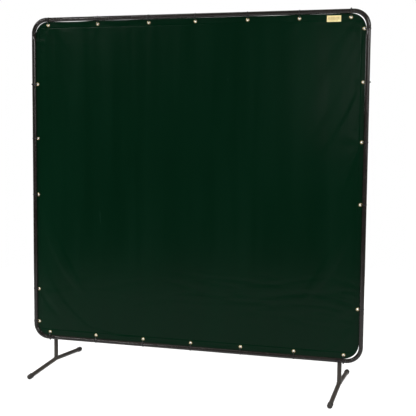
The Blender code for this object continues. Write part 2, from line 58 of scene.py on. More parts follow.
jointClear = 0.0003  # what the model leaves between a corner and a straight tube
# the frame's tubes; their places are read from the model
tubes = {
    "radius": 0.0111,
    "wall": 0.0012,
    "sides": 48,
    "endRound": 0.0006,  # rolled edge at a tube's cut end
    "boreRound": (0.0004, 0.0003),  # the same inside: along the tube, outwards
    "endDepth": 0.02,  # how far an open bore is modelled
    "ringPitch": 0.06,
    "jointGap": 0.0004,  # fine dark line where a corner meets a straight tube
    "spigot": 0.030,
    "spigotClear": 0.0002,
    "spigotRound": (0.0006, 0.0004),
    "bendSteps": 30,
    "topZ": middle("rail_top").z,
    "lowZ": middle("rail_bottom").z,
    "sideX": middle("side_tube_right").x,
    "planeY": middle("side_tube_right").y,
    "railEnd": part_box("rail_top")[1].x + jointClear,
    "sideTop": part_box("side_tube_left")[1].z + jointClear,
    "sideLow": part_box("side_tube_left")[0].z - jointClear,
}
planeY = tubes["planeY"]


def shadeMesh(mesh, sharpAngle):
    mesh.shade_smooth()
    mesh.set_sharp_from_angle(angle=math.radians(sharpAngle))
    return mesh


def meshFrom(name, points, faces, sharpAngle=35):
    mesh = bpy.data.meshes.new(name)
    mesh.from_pydata(points, [], faces)
    bm = bmesh.new()
    bm.from_mesh(mesh)
    bmesh.ops.remove_doubles(bm, verts=bm.verts, dist=1e-6)
    bmesh.ops.recalc_face_normals(bm, faces=bm.faces)
    bm.to_mesh(mesh)
    bm.free()
    return shadeMesh(mesh, sharpAngle)


def meshFromBm(name, bm, sharpAngle=None):
    mesh = bpy.data.meshes.new(name)
    bm.to_mesh(mesh)
    bm.free()
    return shadeMesh(mesh, sharpAngle) if sharpAngle else mesh


def joinBm(bm, part):  # moves the part's faces into bm
    scratch = meshFromBm("scratch", part)
    bm.from_mesh(scratch)
    bpy.data.meshes.remove(scratch)


def loftRings(rings, closed=False, capped=False):  # skin over rings of the same count
    count = len(rings[0])
    points = [p for ring in rings for p in ring]
    faces = []
    last = len(rings) if closed else len(rings) - 1
    for a in range(last):
        b = (a + 1) % len(rings)
        for i in range(count):
            j = (i + 1) % count
            faces.append((a * count + i, a * count + j, b * count + j, b * count + i))
    if capped:
        faces.append(tuple(range(count)))
        faces.append(tuple((len(rings) - 1) * count + i for i in range(count)))
    return points, faces


def pieceName(kind, place):  # ("corner", "top_right") gives cornerTopRight
    return kind + place.title().replace("_", "")


def circleRing(centre, across, up, radius, sides):
    turns = [2 * math.pi * i / sides for i in range(sides)]
    return [centre + radius * (math.cos(t) * across + math.sin(t) * up) for t in turns]


def latheMesh(name, profile, centre, axis, across, sides=48, closed=False, sharpAngle=35):
    up = axis.cross(across)  # the profile is (radius, height along the axis)
    rings = [circleRing(centre + axis * h, across, up, max(r, 1e-5), sides) for r, h in profile]
    points, faces = loftRings(rings, closed=closed)
    return meshFrom(name, points, faces, sharpAngle)


def addPiece(name, mesh, finish, body, slot, *standsFor):
    piece = bpy.data.objects.new(name, mesh)
    bpy.context.collection.objects.link(piece)
    if not mesh.materials:
        mesh.materials.append(finish)
    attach(piece, body)
    if standsFor:
        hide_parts(*standsFor)
    return piece


def loftPiece(name, rings, finish, body, slot, *standsFor, closed=True, capped=False, sharpAngle=35):
    points, faces = loftRings(rings, closed, capped)
    return addPiece(name, meshFrom(name, points, faces, sharpAngle), finish, body, slot, *standsFor)


def cutWith(piece, cutterMesh, sharpAngle=35):
    cutter = bpy.data.objects.new("cutter", cutterMesh)
    bpy.context.collection.objects.link(cutter)
    knife = piece.modifiers.new("cut", "BOOLEAN")
    knife.operation, knife.solver, knife.object = "DIFFERENCE", "EXACT", cutter
    depsgraph = bpy.context.evaluated_depsgraph_get()
    done = bpy.data.meshes.new_from_object(piece.evaluated_get(depsgraph))
    piece.modifiers.clear()
    piece.data = shadeMesh(done, sharpAngle)
    bpy.data.objects.remove(cutter, do_unlink=True)


def plug(tree, socket, value):  # joins another node's output, or sets a plain value
    if hasattr(value, "is_output"):
        tree.links.new(value, socket)
    else:
        socket.default_value = value


def addNode(tree, kind, x, y, inputs=None, **settings):
    node = tree.nodes.new(kind)
    node.location = (x, y)
    for key, value in settings.items():
        setattr(node, key, value)
    for key, value in (inputs or {}).items():
        plug(tree, node.inputs[key], value)
    return node


def mathNode(tree, operation, x, y, *values, clamp=False):
    inputs = dict(enumerate(values))
    return addNode(tree, "ShaderNodeMath", x, y, inputs, operation=operation, use_clamp=clamp).outputs[0]


def mapRange(tree, value, x, y, low, high, toLow=0, toHigh=1):
    inputs = dict(enumerate((value, low, high, toLow, toHigh)))
    return addNode(tree, "ShaderNodeMapRange", x, y, inputs, interpolation_type="SMOOTHSTEP").outputs[0]


def multiplyVector(tree, x, y, vector, factors):
    inputs = {0: vector, 1: factors}
    return addNode(tree, "ShaderNodeVectorMath", x, y, inputs, operation="MULTIPLY").outputs[0]


def splitVector(tree, x, y, vector):
    return addNode(tree, "ShaderNodeSeparateXYZ", x, y, {0: vector}).outputs


def noiseNode(tree, x, y, vector, scale, detail=2, roughness=0.5, distortion=0):
    inputs = {"Vector": vector, "Scale": scale, "Detail": detail}
    inputs.update({"Roughness": roughness, "Distortion": distortion})
    return addNode(tree, "ShaderNodeTexNoise", x, y, inputs).outputs[0]


def newGroup(name, output, **inputs):  # takes a vector and the named values, gives one value
    group = bpy.data.node_groups.new(name, "ShaderNodeTree")
    group.interface.new_socket(name="Vector", in_out="INPUT", socket_type="NodeSocketVector")
    for label, start in inputs.items():
        kind = "NodeSocketVector" if isinstance(start, tuple) else "NodeSocketFloat"
        socket = group.interface.new_socket(name=label, in_out="INPUT", socket_type=kind)
        socket.default_value = start
    group.interface.new_socket(name=output, in_out="OUTPUT", socket_type="NodeSocketFloat")
    take = addNode(group, "NodeGroupInput", -900, 0).outputs
    give = addNode(group, "NodeGroupOutput", 700, 0).inputs[output]
    return group, take, give


def makeMottleGroup():  # soft cloudy variation, 0 to 1
    group, take, give = newGroup("surfaceMottle", "Mask", Scale=8.0, Spread=0.2)
    clouds = noiseNode(group, -600, 0, take["Vector"], take["Scale"], 5, 0.6)
    low = mathNode(group, "SUBTRACT", -400, -200, 0.5, take["Spread"])
    high = mathNode(group, "ADD", -400, -350, 0.5, take["Spread"])
    plug(group, give, mapRange(group, clouds, 0, 0, low, high))
    return group


def makeRubGroup():  # thin rub marks and scratches; Stretch draws them out in each direction
    group, take, give = newGroup("rubMarks", "Mask", Stretch=(60, 60, 6), Amount=0.1)
    stretched = multiplyVector(group, -700, 0, take["Vector"], take["Stretch"])
    marks = noiseNode(group, -500, 0, stretched, 1, 3, distortion=0.4)
    patches = noiseNode(group, -500, -300, take["Vector"], 9)
    edge = mathNode(group, "SUBTRACT", -300, -150, 0.74, take["Amount"])
    thin = mapRange(group, marks, -100, 0, edge, 0.80)
    where = mapRange(group, patches, -100, -300, 0.48, 0.66)
    plug(group, give, mathNode(group, "MULTIPLY", 300, 0, thin, where))
    return group


def makeDustGroup():  # dust that lies on faces looking up, broken by clouds
    group, take, give = newGroup("settledDust", "Mask", Amount=0.3)
    normal = addNode(group, "ShaderNodeNewGeometry", -700, -200).outputs["Normal"]
    facing = mapRange(group, splitVector(group, -500, -200, normal)["Z"], -300, -200, 0.25, 1.0)
    clouds = noiseNode(group, -500, 100, take["Vector"], 45, 6)
    specks = mapRange(group, clouds, -300, 100, 0.35, 0.7, 0.25, 1)
    both = mathNode(group, "MULTIPLY", 0, 0, facing, specks)
    plug(group, give, mathNode(group, "MULTIPLY", 300, 0, both, take["Amount"]))
    return group


def makePeelGroup():  # fine rolling skin of a sprayed or moulded surface, as a height
    group, take, give = newGroup("skinPeel", "Height", Scale=700.0, Coarse=0.3)
    fine = noiseNode(group, -600, 100, take["Vector"], take["Scale"])
    wideScale = mathNode(group, "MULTIPLY", -800, -200, take["Scale"], 0.12)
    wide = noiseNode(group, -600, -200, take["Vector"], wideScale, 1)
    coarse = mathNode(group, "MULTIPLY", -300, -200, wide, take["Coarse"])
    plug(group, give, mathNode(group, "ADD", 0, 0, fine, coarse))
    return group


mottle, rubMarks = makeMottleGroup(), makeRubGroup()
settledDust, skinPeel = makeDustGroup(), makePeelGroup()


def newFinish(name):
    finish = bpy.data.materials.new(name)
    finish.use_nodes = True
    tree = finish.node_tree
    shader = tree.nodes["Principled BSDF"]
    shader.location = (700, 0)
    tree.nodes["Material Output"].location = (1000, 0)
    place = addNode(tree, "ShaderNodeTexCoord", -1400, 0)
    return finish, tree, shader, place.outputs["Object"]


def useGroup(tree, group, x, y, vector, **values):
    return addNode(tree, "ShaderNodeGroup", x, y, {"Vector": vector, **values}, node_tree=group).outputs[0]


def mixColours(tree, mask, x, y, first, second):
    node = addNode(tree, "ShaderNodeMix", x, y, {0: mask}, data_type="RGBA")
    for socket, colour in ((node.inputs[6], first), (node.inputs[7], second)):
        plug(tree, socket, colour if hasattr(colour, "is_output") else (*colour, 1))
    return node.outputs[2]


def addBump(tree, shader, height, strength, distance, x=400, y=-400, normal=None):
    inputs = {"Strength": strength, "Distance": distance, "Height": height}
    if normal:
        inputs["Normal"] = normal
    bump = addNode(tree, "ShaderNodeBump", x, y, inputs).outputs[0]
    tree.links.new(bump, shader.inputs["Normal"])
    return bump


def coatedFinish(name, look):  # painted, plated or moulded skin: two tones, rub marks, dust and peel
    finish, tree, shader, place = newFinish(name)
    clouds = useGroup(tree, mottle, -1000, 300, place, Scale=look["mottleScale"], Spread=look["spread"])
    rubs = useGroup(tree, rubMarks, -1000, 0, place, Stretch=look["rubStretch"], Amount=look["rubAmount"])
    dust = useGroup(tree, settledDust, -1000, -300, place, Amount=look["dust"])
    tone = mixColours(tree, clouds, -600, 300, look["colour"], look["colourTwo"])
    tone = mixColours(tree, rubs, -350, 300, tone, look["rubColour"])
    tone = mixColours(tree, dust, -100, 300, tone, look["dustColour"])
    tree.links.new(tone, shader.inputs["Base Color"])
    rough = mapRange(tree, clouds, -600, 0, 0, 1, *look["roughness"])
    dulled = mathNode(tree, "MULTIPLY", -600, -150, dust, 0.4)
    rough = mathNode(tree, "ADD", -350, 0, rough, dulled)
    rubbed = mathNode(tree, "MULTIPLY", -350, -150, rubs, look["rubRoughness"])
    rough = mathNode(tree, "ADD", -100, 0, rough, rubbed, clamp=True)
    tree.links.new(rough, shader.inputs["Roughness"])
    peel = useGroup(tree, skinPeel, -600, -500, place, Scale=look["peelScale"], Coarse=look["peelCoarse"])
    addBump(tree, shader, peel, look["peelStrength"], look["peelDepth"])
    shader.inputs["Metallic"].default_value = look["metallic"]
    shader.inputs["IOR"].default_value = look.get("ior", 1.5)
    shader.inputs["Specular IOR Level"].default_value = look.get("specular", 0.5)
    return finish


powderLook = {
    "colour": (0.0125, 0.0104, 0.0090),
    "colourTwo": (0.0175, 0.0148, 0.0128),
    "mottleScale": 14,
    "spread": 0.22,
    "roughness": (0.15, 0.22),
    "rubStretch": (70, 70, 70),
    "rubAmount": 0.05,
    "rubColour": (0.065, 0.060, 0.056),
    "rubRoughness": 0.15,
    "dust": 0.04,
    "dustColour": (0.23, 0.21, 0.19),
    "peelScale": 520,
    "peelCoarse": 0.5,
    "peelStrength": 0.12,
    "peelDepth": 0.0004,
    "metallic": 0.0,
    "specular": 0.5,
}
# a lit copy of the frame's powder coat: painted lighter and warmer because the legs stand in brighter light,
# and rougher
legPaintedLightLook = {
    **powderLook,
    "colour": (0.0400, 0.0330, 0.0270),
    "colourTwo": (0.0500, 0.0415, 0.0340),
    "roughness": (0.30, 0.42),
    "dust": 0.08,
    "specular": 0.4,
}
# the weld bead takes the same painted-lighter powder tone as the legs
weldLook = {
    **legPaintedLightLook,
    "roughness": (0.30, 0.48),
    "dust": 0.05,
    "peelScale": 900,
    "peelStrength": 0.5,
    "peelDepth": 0.0006,
}
nylonLook = {
    "colour": (0.008, 0.008, 0.008),
    "colourTwo": (0.014, 0.014, 0.014),
    "mottleScale": 120,
    "spread": 0.25,
    "roughness": (0.34, 0.50),
    "rubStretch": (500, 500, 500),
    "rubAmount": 0.02,
    "rubColour": (0.05, 0.05, 0.05),
    "rubRoughness": 0.1,
    "dust": 0.05,
    "dustColour": (0.16, 0.15, 0.14),
    "peelScale": 2600,
    "peelCoarse": 0.4,
    "peelStrength": 0.2,
    "peelDepth": 0.0001,
    "metallic": 0.0,
    "ior": 1.53,
}
capLook = {
    **nylonLook,
    "colour": (0.030, 0.0265, 0.0235),
    "colourTwo": (0.038, 0.0335, 0.0300),
    "roughness": (0.48, 0.66),
    "mottleScale": 60,
    "rubStretch": (180, 180, 500),
    "rubAmount": 0.08,
    "rubColour": (0.075, 0.070, 0.064),
    "dust": 0.22,
    "peelScale": 1500,
    "peelStrength": 0.35,
    "peelDepth": 0.0002,
}
zincLook = {
    "colour": (0.58, 0.58, 0.56),
    "colourTwo": (0.47, 0.47, 0.44),
    "mottleScale": 160,
    "spread": 0.3,
    "roughness": (0.24, 0.42),
    "rubStretch": (400, 400, 1400),
    "rubAmount": 0.12,
    "rubColour": (0.70, 0.70, 0.69),
    "rubRoughness": -0.05,
    "dust": 0.12,
    "dustColour": (0.30, 0.28, 0.25),
    "peelScale": 2200,
    "peelCoarse": 0.8,
    "peelStrength": 0.25,
    "peelDepth": 0.00012,
    "metallic": 1.0,
}
boltLook = {
    **zincLook,
    "colour": (0.045, 0.045, 0.047),
    "colourTwo": (0.028, 0.028, 0.030),
    "rubColour": (0.16, 0.16, 0.16),
    "dust": 0.08,
}
brassLook = {
    **zincLook,
    "colour": (0.84, 0.70, 0.42),
    "colourTwo": (0.66, 0.49, 0.22),
    "mottleScale": 260,
    "roughness": (0.20, 0.40),
    "rubColour": (0.95, 0.88, 0.70),
    "rubAmount": 0.16,
    "dust": 0.06,
    "dustColour": (0.34, 0.29, 0.20),
}
frameCoat = coatedFinish("framePowderCoat", powderLook)
legPaintedLightCoat = coatedFinish("legPowderCoat", legPaintedLightLook)
weldCoat = coatedFinish("weldUnderPowder", weldLook)
tieNylon = coatedFinish("tieNylon", nylonLook)
capPlastic = coatedFinish("capPlastic", capLook)
zincPlate = coatedFinish("zincPlate", zincLook)
blackBolt = coatedFinish("blackBolt", boltLook)
eyeletBrass = coatedFinish("eyeletBrass", brassLook)

vinylLook = {
    "deep": (0.0006, 0.0114, 0.0042),
    "worn": (0.0010, 0.0147, 0.0058),
    "streaks": (7.0, 1.0, 0.45),  # how the long soft streaks are drawn out
    "roughness": (0.20, 0.27),
    "specular": 0.11,
    "rubColour": (0.010, 0.040, 0.024),
    "rubShow": 0.25,
    "rubRoughness": 0.12,
    "dust": 0.15,
    "dustColour": (0.12, 0.13, 0.11),
    "draws": (2.2, 1.0, 0.7),  # how the shallow draws in the film are stretched
    "drawBump": (0.12, 0.003),  # strength and depth of each relief
    "creasePitch": 0.445,  # fold lines left from its packet
    "creaseWidth": 0.006,
    "creaseBump": (0.12, 0.0006),
    "embossScale": 620,
    "embossBump": (0.10, 0.0003),
}


def makeVinyl():
    finish, tree, shader, place = newFinish("curtainVinyl")
    stretched = multiplyVector(tree, -1200, 500, place, vinylLook["streaks"])
    streaks = useGroup(tree, mottle, -1000, 500, stretched, Scale=1.6, Spread=0.28)
    clouds = useGroup(tree, mottle, -1000, 250, place, Scale=2.4, Spread=0.3)
    rubs = useGroup(tree, rubMarks, -1000, 0, place, Stretch=(34, 34, 5), Amount=0.05)
    dust = useGroup(tree, settledDust, -1000, -200, place, Amount=vinylLook["dust"])
    streakShare = mathNode(tree, "MULTIPLY", -850, 400, streaks, 0.6)
    cloudShare = mathNode(tree, "MULTIPLY", -850, 250, clouds, 0.4)
    blend = mathNode(tree, "ADD", -750, 400, streakShare, cloudShare)
    tone = mixColours(tree, blend, -500, 400, vinylLook["deep"], vinylLook["worn"])
    faintRubs = mathNode(tree, "MULTIPLY", -500, 100, rubs, vinylLook["rubShow"])
    tone = mixColours(tree, faintRubs, -250, 400, tone, vinylLook["rubColour"])
    tone = mixColours(tree, dust, 0, 400, tone, vinylLook["dustColour"])
    tree.links.new(tone, shader.inputs["Base Color"])
    rough = mapRange(tree, streaks, -500, -50, 0, 1, *vinylLook["roughness"])
    rubbed = mathNode(tree, "MULTIPLY", -500, -200, rubs, vinylLook["rubRoughness"])
    rough = mathNode(tree, "ADD", -250, -50, rough, rubbed, clamp=True)
    tree.links.new(rough, shader.inputs["Roughness"])
    # long shallow draws in the film, then packet creases, then the fine emboss
    drawn = multiplyVector(tree, -1200, -450, place, vinylLook["draws"])
    draws = noiseNode(tree, -1000, -450, drawn, 5, 3)
    wide = addBump(tree, shader, draws, *vinylLook["drawBump"], x=-400, y=-450)
    along = splitVector(tree, -1200, -700, place)
    creases = []
    for axisName, y in (("X", -650), ("Z", -850)):
        wrapped = mathNode(tree, "PINGPONG", -1000, y, along[axisName], vinylLook["creasePitch"] / 2)
        creases.append(mapRange(tree, wrapped, -800, y, 0.0, vinylLook["creaseWidth"], 1, 0))
    crease = mathNode(tree, "MAXIMUM", -600, -750, *creases)
    folded = addBump(tree, shader, crease, *vinylLook["creaseBump"], x=-150, y=-600, normal=wide)
    inputs = {"Scale": vinylLook["embossScale"], "Vector": place}
    emboss = addNode(tree, "ShaderNodeTexVoronoi", -600, -1000, inputs, feature="SMOOTH_F1")
    embossed = emboss.outputs["Distance"]
    addBump(tree, shader, embossed, *vinylLook["embossBump"], x=150, y=-750, normal=folded)
    shader.inputs["Specular IOR Level"].default_value = vinylLook["specular"]
    return finish


curtainVinyl = makeVinyl()
print("finishes made")


def tubeRings(stations):  # a station is its centre, its direction and the radius there
    return [circleRing(c, way.cross(yWay), yWay, r, tubes["sides"]) for c, way, r in stations]


def endProfile():  # (distance in from the cut end, radius), from inside the bore to the outside
    outer, lip = tubes["radius"], tubes["endRound"]
    bore = outer - tubes["wall"]
    back, out = tubes["boreRound"]
    inside = [(tubes["endDepth"], bore), (back, bore), (0, bore + out)]
    return inside + [(0, outer - lip), (lip * 0.3, outer - lip * 0.3), (lip, outer)]


def straightTube(name, start, end, node):
    way = (end - start).normalized()
    length = (end - start).length
    stations = [(start + way * d, way, r) for d, r in endProfile()]
    steps = int(length / tubes["ringPitch"])
    for i in range(1, steps):
        stations.append((start + way * (length * i / steps), way, tubes["radius"]))
    stations += [(end - way * d, way, r) for d, r in reversed(endProfile())]
    return loftPiece(name, tubeRings(stations), frameCoat, "frame", "frame_powder_coat", node)


def cornerTube(name, bendCentre, turn, node):  # quarter bend with a plug-in end each way
    bend, outer, lip = tubes["topZ"] - tubes["sideTop"], tubes["radius"], tubes["endRound"]
    spigot = outer - tubes["wall"] - tubes["spigotClear"]
    back, out = tubes["spigotRound"]
    shoulder = [(-tubes["spigot"], spigot), (-back, spigot), (0, spigot + out)]
    shoulder += [(0, outer - lip), (lip * 0.3, outer - lip * 0.3), (lip, outer)]
    stations = [(xWay * bend + zWay * d, zWay, r) for d, r in shoulder]
    for i in range(1, tubes["bendSteps"]):
        t = math.pi / 2 * i / tubes["bendSteps"]
        across, along = Vector((math.cos(t), 0, math.sin(t))), Vector((-math.sin(t), 0, math.cos(t)))
        stations.append((bend * across, along, outer))
    stations += [(zWay * bend + xWay * d, -xWay, r) for d, r in reversed(shoulder)]
    spin = Matrix.Rotation(turn, 3, "Y")
    rings = [[spin @ p + bendCentre for p in ring] for ring in tubeRings(stations)]
    loftPiece(name, rings, frameCoat, "frame", "frame_powder_coat", node, closed=False, capped=True)


straights = {}
jointHalf = tubes["jointGap"] / 2
railReach = xWay * (tubes["railEnd"] - jointHalf)
for name, node, z in (("topRail", "rail_top", tubes["topZ"]), ("bottomRail", "rail_bottom", tubes["lowZ"])):
    centre = Vector((0, planeY, z))
    straights[node] = straightTube(name, centre - railReach, centre + railReach, node)
for side, x in (("left", -tubes["sideX"]), ("right", tubes["sideX"])):
    low = Vector((x, planeY, tubes["sideLow"] + jointHalf))
    high = Vector((x, planeY, tubes["sideTop"] - jointHalf))
    node = "side_tube_" + side
    straights[node] = straightTube(side + "SideTube", low, high, node)
for place, quarter, x, z in (
    ("top_right", 0, 1, tubes["sideTop"]),
    ("top_left", -1, -1, tubes["sideTop"]),
    ("bottom_left", 2, -1, tubes["sideLow"]),
    ("bottom_right", 1, 1, tubes["sideLow"]),
):
    bendCentre = Vector((x * tubes["railEnd"], planeY, z))
    cornerTube(pieceName("corner", place), bendCentre, math.pi / 2 * quarter, "corner_" + place)
print("frame tubes built")

# spring buttons through the joints, on the back
button = {
    "radius": 0.0030,
    "stand": 0.0025,
    "hole": 0.0033,
    "sides": 32,
    "reach": 0.004,  # how deep the button and its hole go below the skin
    # its dome, as shares of the radius and of how far it stands out
    "dome": ((1, 0.25), (0.94, 0.55), (0.78, 0.80), (0.5, 0.95), (0, 1)),
}


def addButton(node, tube):
    spot = middle(node)
    back = planeY + tubes["radius"]
    r, low, high = button["hole"], planeY + button["reach"], back + button["reach"]
    centre = Vector((spot.x, 0, spot.z))
    hole = [(0, low), (r, low), (r, high), (0, high)]
    cutWith(straights[tube], latheMesh("hole", hole, centre, yWay, xWay, button["sides"]))
    r, low = button["radius"], back - button["reach"]
    shape = [(0, low), (r, low)]
    shape += [(r * share, back + button["stand"] * rise) for share, rise in button["dome"]]
    name = pieceName("springButton", node.replace("snap_button", ""))
    mesh = latheMesh(name, shape, centre, yWay, xWay, button["sides"])
    addPiece(name, mesh, zincPlate, "frame", "zinc_plate", node)


for side in ("left", "right"):
    addButton("snap_button_top_" + side, "rail_top")
for side in ("left", "right"):
    for level in ("upper", "lower"):
        addButton(f"snap_button_{side}_{level}", "side_tube_" + side)
print("spring buttons set")

curtain = {
    "halfWidth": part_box("curtain")[1].x,
    "halfHeight": (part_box("curtain")[1].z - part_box("curtain")[0].z) / 2,
    "midZ": middle("curtain").z,
    "edgeGap": 0.0001,  # light gap between the sheet's edge and a tube
    "cornerRadii": {"TL": 0.072, "TR": 0.076, "BL": 0.066, "BR": 0.077},
    "topHem": 0.038,
    "sideHem": 0.026,
    "film": 0.0005,
    "hemFilm": 0.0012,
    "weld": 0.0045,  # width of the welded line at a hem's edge
    "weldGroove": 0.0003,
    "hemStart": 0.03,  # where the second layer begins, as a share of the hem
    "hemSteps": (0.30, 0.48, 0.66, 0.82, 0.94, 0.985, 1.0),
    "rimSoft": 0.00009,  # how much the cut edge is thinned on each face
    "cell": 0.009,  # cell of the finished sheet
    "cornerCells": 6,
    "mostBulge": 0.0006,
    "hemDraws": (0.0007, 0.0004),  # height of the draws along the level and the upright hems
    "fanHeight": 0.0003,
    "creaseHeight": 0.0009,
    "eyeletFlat": 0.011,
    "calmReach": 0.06,
    "eyeletHole": 0.0056,
    "holeSides": 24,
    # dips in the sheet's edge between its ties: (side, place from the middle, half length, depth)
    "sags": (
        ("top", -0.673, 0.125, 0.0025),
        ("top", -0.39, 0.11, 0.0006),
        ("top", 0.0, 0.80, 0.0002),
        ("top", 0.43, 0.11, 0.0008),
        ("top", 0.69, 0.10, 0.0006),
        ("right", 0.62, 0.42, 0.0003),
    ),
    "eyeletEndInset": 0.0173,
    "eyeletSideInset": 0.0085,
}
# the coarse test cloth that the sheet's bulge is read from
hanging = {
    "cell": 0.020,
    "slack": 0.0001,
    "frames": 36,
    "startWave": 0.0006,
    "rig": {
        "quality": 6,
        "mass": 0.35,
        "tension_stiffness": 60,
        "compression_stiffness": 60,
        "shear_stiffness": 35,
        "bending_stiffness": 3,
        "tension_damping": 12,
        "compression_damping": 12,
        "shear_damping": 12,
        "air_damping": 3,
    },
}


def eyeletSpots():  # (node, eyelet centre, tube centre, turn about Y) for every tie
    spots = []
    for node in sorted(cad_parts):
        if not node.startswith("tie_"):
            continue
        spot, side = middle(node), node.split("_")[1]
        if side in ("top", "bottom"):
            up = 1 if side == "top" else -1
            reach = curtain["halfHeight"] - curtain["eyeletEndInset"]
            eyelet = Vector((spot.x, planeY, curtain["midZ"] + up * reach))
            tube = Vector((spot.x, planeY, tubes["topZ"] if up == 1 else tubes["lowZ"]))
            turn = 0 if up == 1 else math.pi
        else:
            out = 1 if side == "right" else -1
            eyelet = Vector((out * (curtain["halfWidth"] - curtain["eyeletSideInset"]), planeY, spot.z))
            tube = Vector((out * tubes["sideX"], planeY, spot.z))
            turn = out * math.pi / 2
        spots.append((node, eyelet, tube, turn))
    return spots


spots = eyeletSpots()


def sheetLayout(cell, bandSteps):  # flat points, faces, each point's share of the hem, and the rim
    hw = tubes["sideX"] - tubes["radius"] - curtain["edgeGap"]
    hh = (tubes["topZ"] - tubes["lowZ"]) / 2 - tubes["radius"] - curtain["edgeGap"]
    radii = curtain["cornerRadii"]
    most = max(radii.values())
    m = curtain["cornerCells"]
    innerX, innerZ = hw - curtain["sideHem"], hh - curtain["topHem"]

    def lines(inner, straight):
        count = round(2 * straight / cell)
        low = [-inner + (inner - straight) * i / m for i in range(m)]
        mid = [-straight + 2 * straight * i / count for i in range(count + 1)]
        return low + mid + [-v for v in reversed(low)]

    xs, zs = lines(innerX, hw - most), lines(innerZ, hh - most)
    nx, nz = len(xs), len(zs)
    grid = {(i, j): j * nx + i for j in range(nz) for i in range(nx)}
    points = [(x, z) for z in zs for x in xs]
    band = [0.0] * len(points)
    faces = []
    for i in range(nx - 1):
        for j in range(nz - 1):
            faces.append((grid[i, j], grid[i + 1, j], grid[i + 1, j + 1], grid[i, j + 1]))
    loop = [(i, 0) for i in range(nx - 1)] + [(nx - 1, j) for j in range(nz - 1)]
    loop += [(i, nz - 1) for i in range(nx - 1, 0, -1)] + [(0, j) for j in range(nz - 1, 0, -1)]

    def edgePoint(i, j):  # where this point of the inner border lands on the rounded outline
        right, top = i >= nx - 1 - m, j >= nz - 1 - m
        left, low = i <= m, j <= m
        if (left or right) and (low or top):
            alongX = (i - (nx - 1 - m)) if right else (m - i)
            alongZ = (j - (nz - 1 - m)) if top else (m - j)
            turn = math.pi / 2 * (1 - (alongX + m - alongZ) / (2 * m))
            sx, sz = (1 if right else -1), (1 if top else -1)
            r = radii[("T" if top else "B") + ("R" if right else "L")]
            x, z = hw - r + r * math.cos(turn), hh - r + r * math.sin(turn)
            if alongX == 0:  # the arc's ends meet the straight edges
                x = hw - most
            if alongZ == 0:
                z = hh - most
            return sx * x, sz * z
        if j in (0, nz - 1):
            return xs[i], (hh if j else -hh)
        return (hw if i else -hw), zs[j]

    previous = [grid[key] for key in loop]
    for step in bandSteps:
        ring = []
        for key in loop:
            x0, z0 = points[grid[key]]
            x1, z1 = edgePoint(*key)
            ring.append(len(points))
            points.append((x0 + (x1 - x0) * step, z0 + (z1 - z0) * step))
            band.append(step)
        for a in range(len(loop)):
            b = (a + 1) % len(loop)
            faces.append((previous[a], ring[a], ring[b], previous[b]))
        previous = ring
    return points, faces, band, previous


def hangCloth():  # hangs a coarse sheet from its eyelets, to read the bulge from
    points, faces, _, _ = sheetLayout(hanging["cell"], (0.35, 0.7, 1.0))
    flat = []
    for x, z in points:
        wave = hanging["startWave"] * noise.noise(Vector((x * 5, z * 3.1, 1.7)))
        flat.append(Vector((x, planeY + wave, z + curtain["midZ"])))
    mesh = bpy.data.meshes.new("hanging")
    mesh.from_pydata(flat, [], faces)
    cloth = bpy.data.objects.new("hanging", mesh)
    bpy.context.collection.objects.link(cloth)
    pins = cloth.vertex_groups.new(name="pins")
    for _, eyelet, _, _ in spots:
        near = sorted(range(len(flat)), key=lambda k: (flat[k] - eyelet).length)[:3]
        pins.add(near, 1.0, "ADD")
    hang = cloth.modifiers.new("hang", "CLOTH")
    for key, value in hanging["rig"].items():
        setattr(hang.settings, key, value)
    hang.settings.shrink_min = -hanging["slack"]
    hang.settings.vertex_group_mass = "pins"
    hang.collision_settings.use_collision = False
    scene = bpy.context.scene
    scene.gravity = (0, 0, -9.81)
    for step in range(1, hanging["frames"] + 1):
        scene.frame_set(step)
    depsgraph = bpy.context.evaluated_depsgraph_get()
    hung = bpy.data.meshes.new_from_object(cloth.evaluated_get(depsgraph))
    scene.frame_set(1)
    bm = bmesh.new()
    bm.from_mesh(hung)
    bmesh.ops.subdivide_edges(bm, edges=bm.edges, cuts=1, use_grid_fill=True, smooth=1.0)
    tree = BVHTree.FromBMesh(bm)
    bm.free()
    bpy.data.objects.remove(cloth, do_unlink=True)
    return tree


def smooth(value, low, high):
    t = min(1, max(0, (value - low) / (high - low)))
    return t * t * (3 - 2 * t)


def eyeletCalm(x, z):  # 0 on an eyelet, 1 away from it, so that the sheet lies flat under the brass
    calm = 1.0
    for _, eyelet, _, _ in spots:
        away = math.hypot(x - eyelet.x, z - eyelet.z)
        if away < curtain["calmReach"]:
            calm = min(calm, smooth(away, curtain["eyeletFlat"], curtain["calmReach"]))
    return calm


def hemDraws(x, z):  # small draws along the welded line of each hem
    fromTop = curtain["halfHeight"] - abs(z - curtain["midZ"])
    fromSide = curtain["halfWidth"] - abs(x)
    top = math.exp(-((fromTop - curtain["topHem"]) / 0.010) ** 2)
    side = math.exp(-((fromSide - curtain["sideHem"]) / 0.008) ** 2)
    along = noise.noise(Vector((x * 16, 3.3, z * 1.5)))
    upward = noise.noise(Vector((8.1, x * 1.5, z * 13)))
    level, upright = curtain["hemDraws"]
    return level * along * top + upright * upward * side


def fanFolds(x, z):  # fine pulls that fan out from each eyelet
    total = 0.0
    for index, (_, eyelet, tube, _) in enumerate(spots):
        away = math.hypot(x - eyelet.x, z - eyelet.z)
        if away > 0.16:
            continue
        inward = math.atan2((eyelet - tube).z, (eyelet - tube).x)
        turn = math.atan2(z - eyelet.z, x - eyelet.x) - inward
        turn = (turn + math.pi) % (2 * math.pi) - math.pi
        if abs(turn) > 1.9:
            continue
        wave = math.cos(turn * 4.5 + index * 1.7) * math.cos(turn * 0.8)
        fade = smooth(away, 0.012, 0.035) * (1 - smooth(away, 0.05, 0.16))
        total += curtain["fanHeight"] * wave * fade
    return total


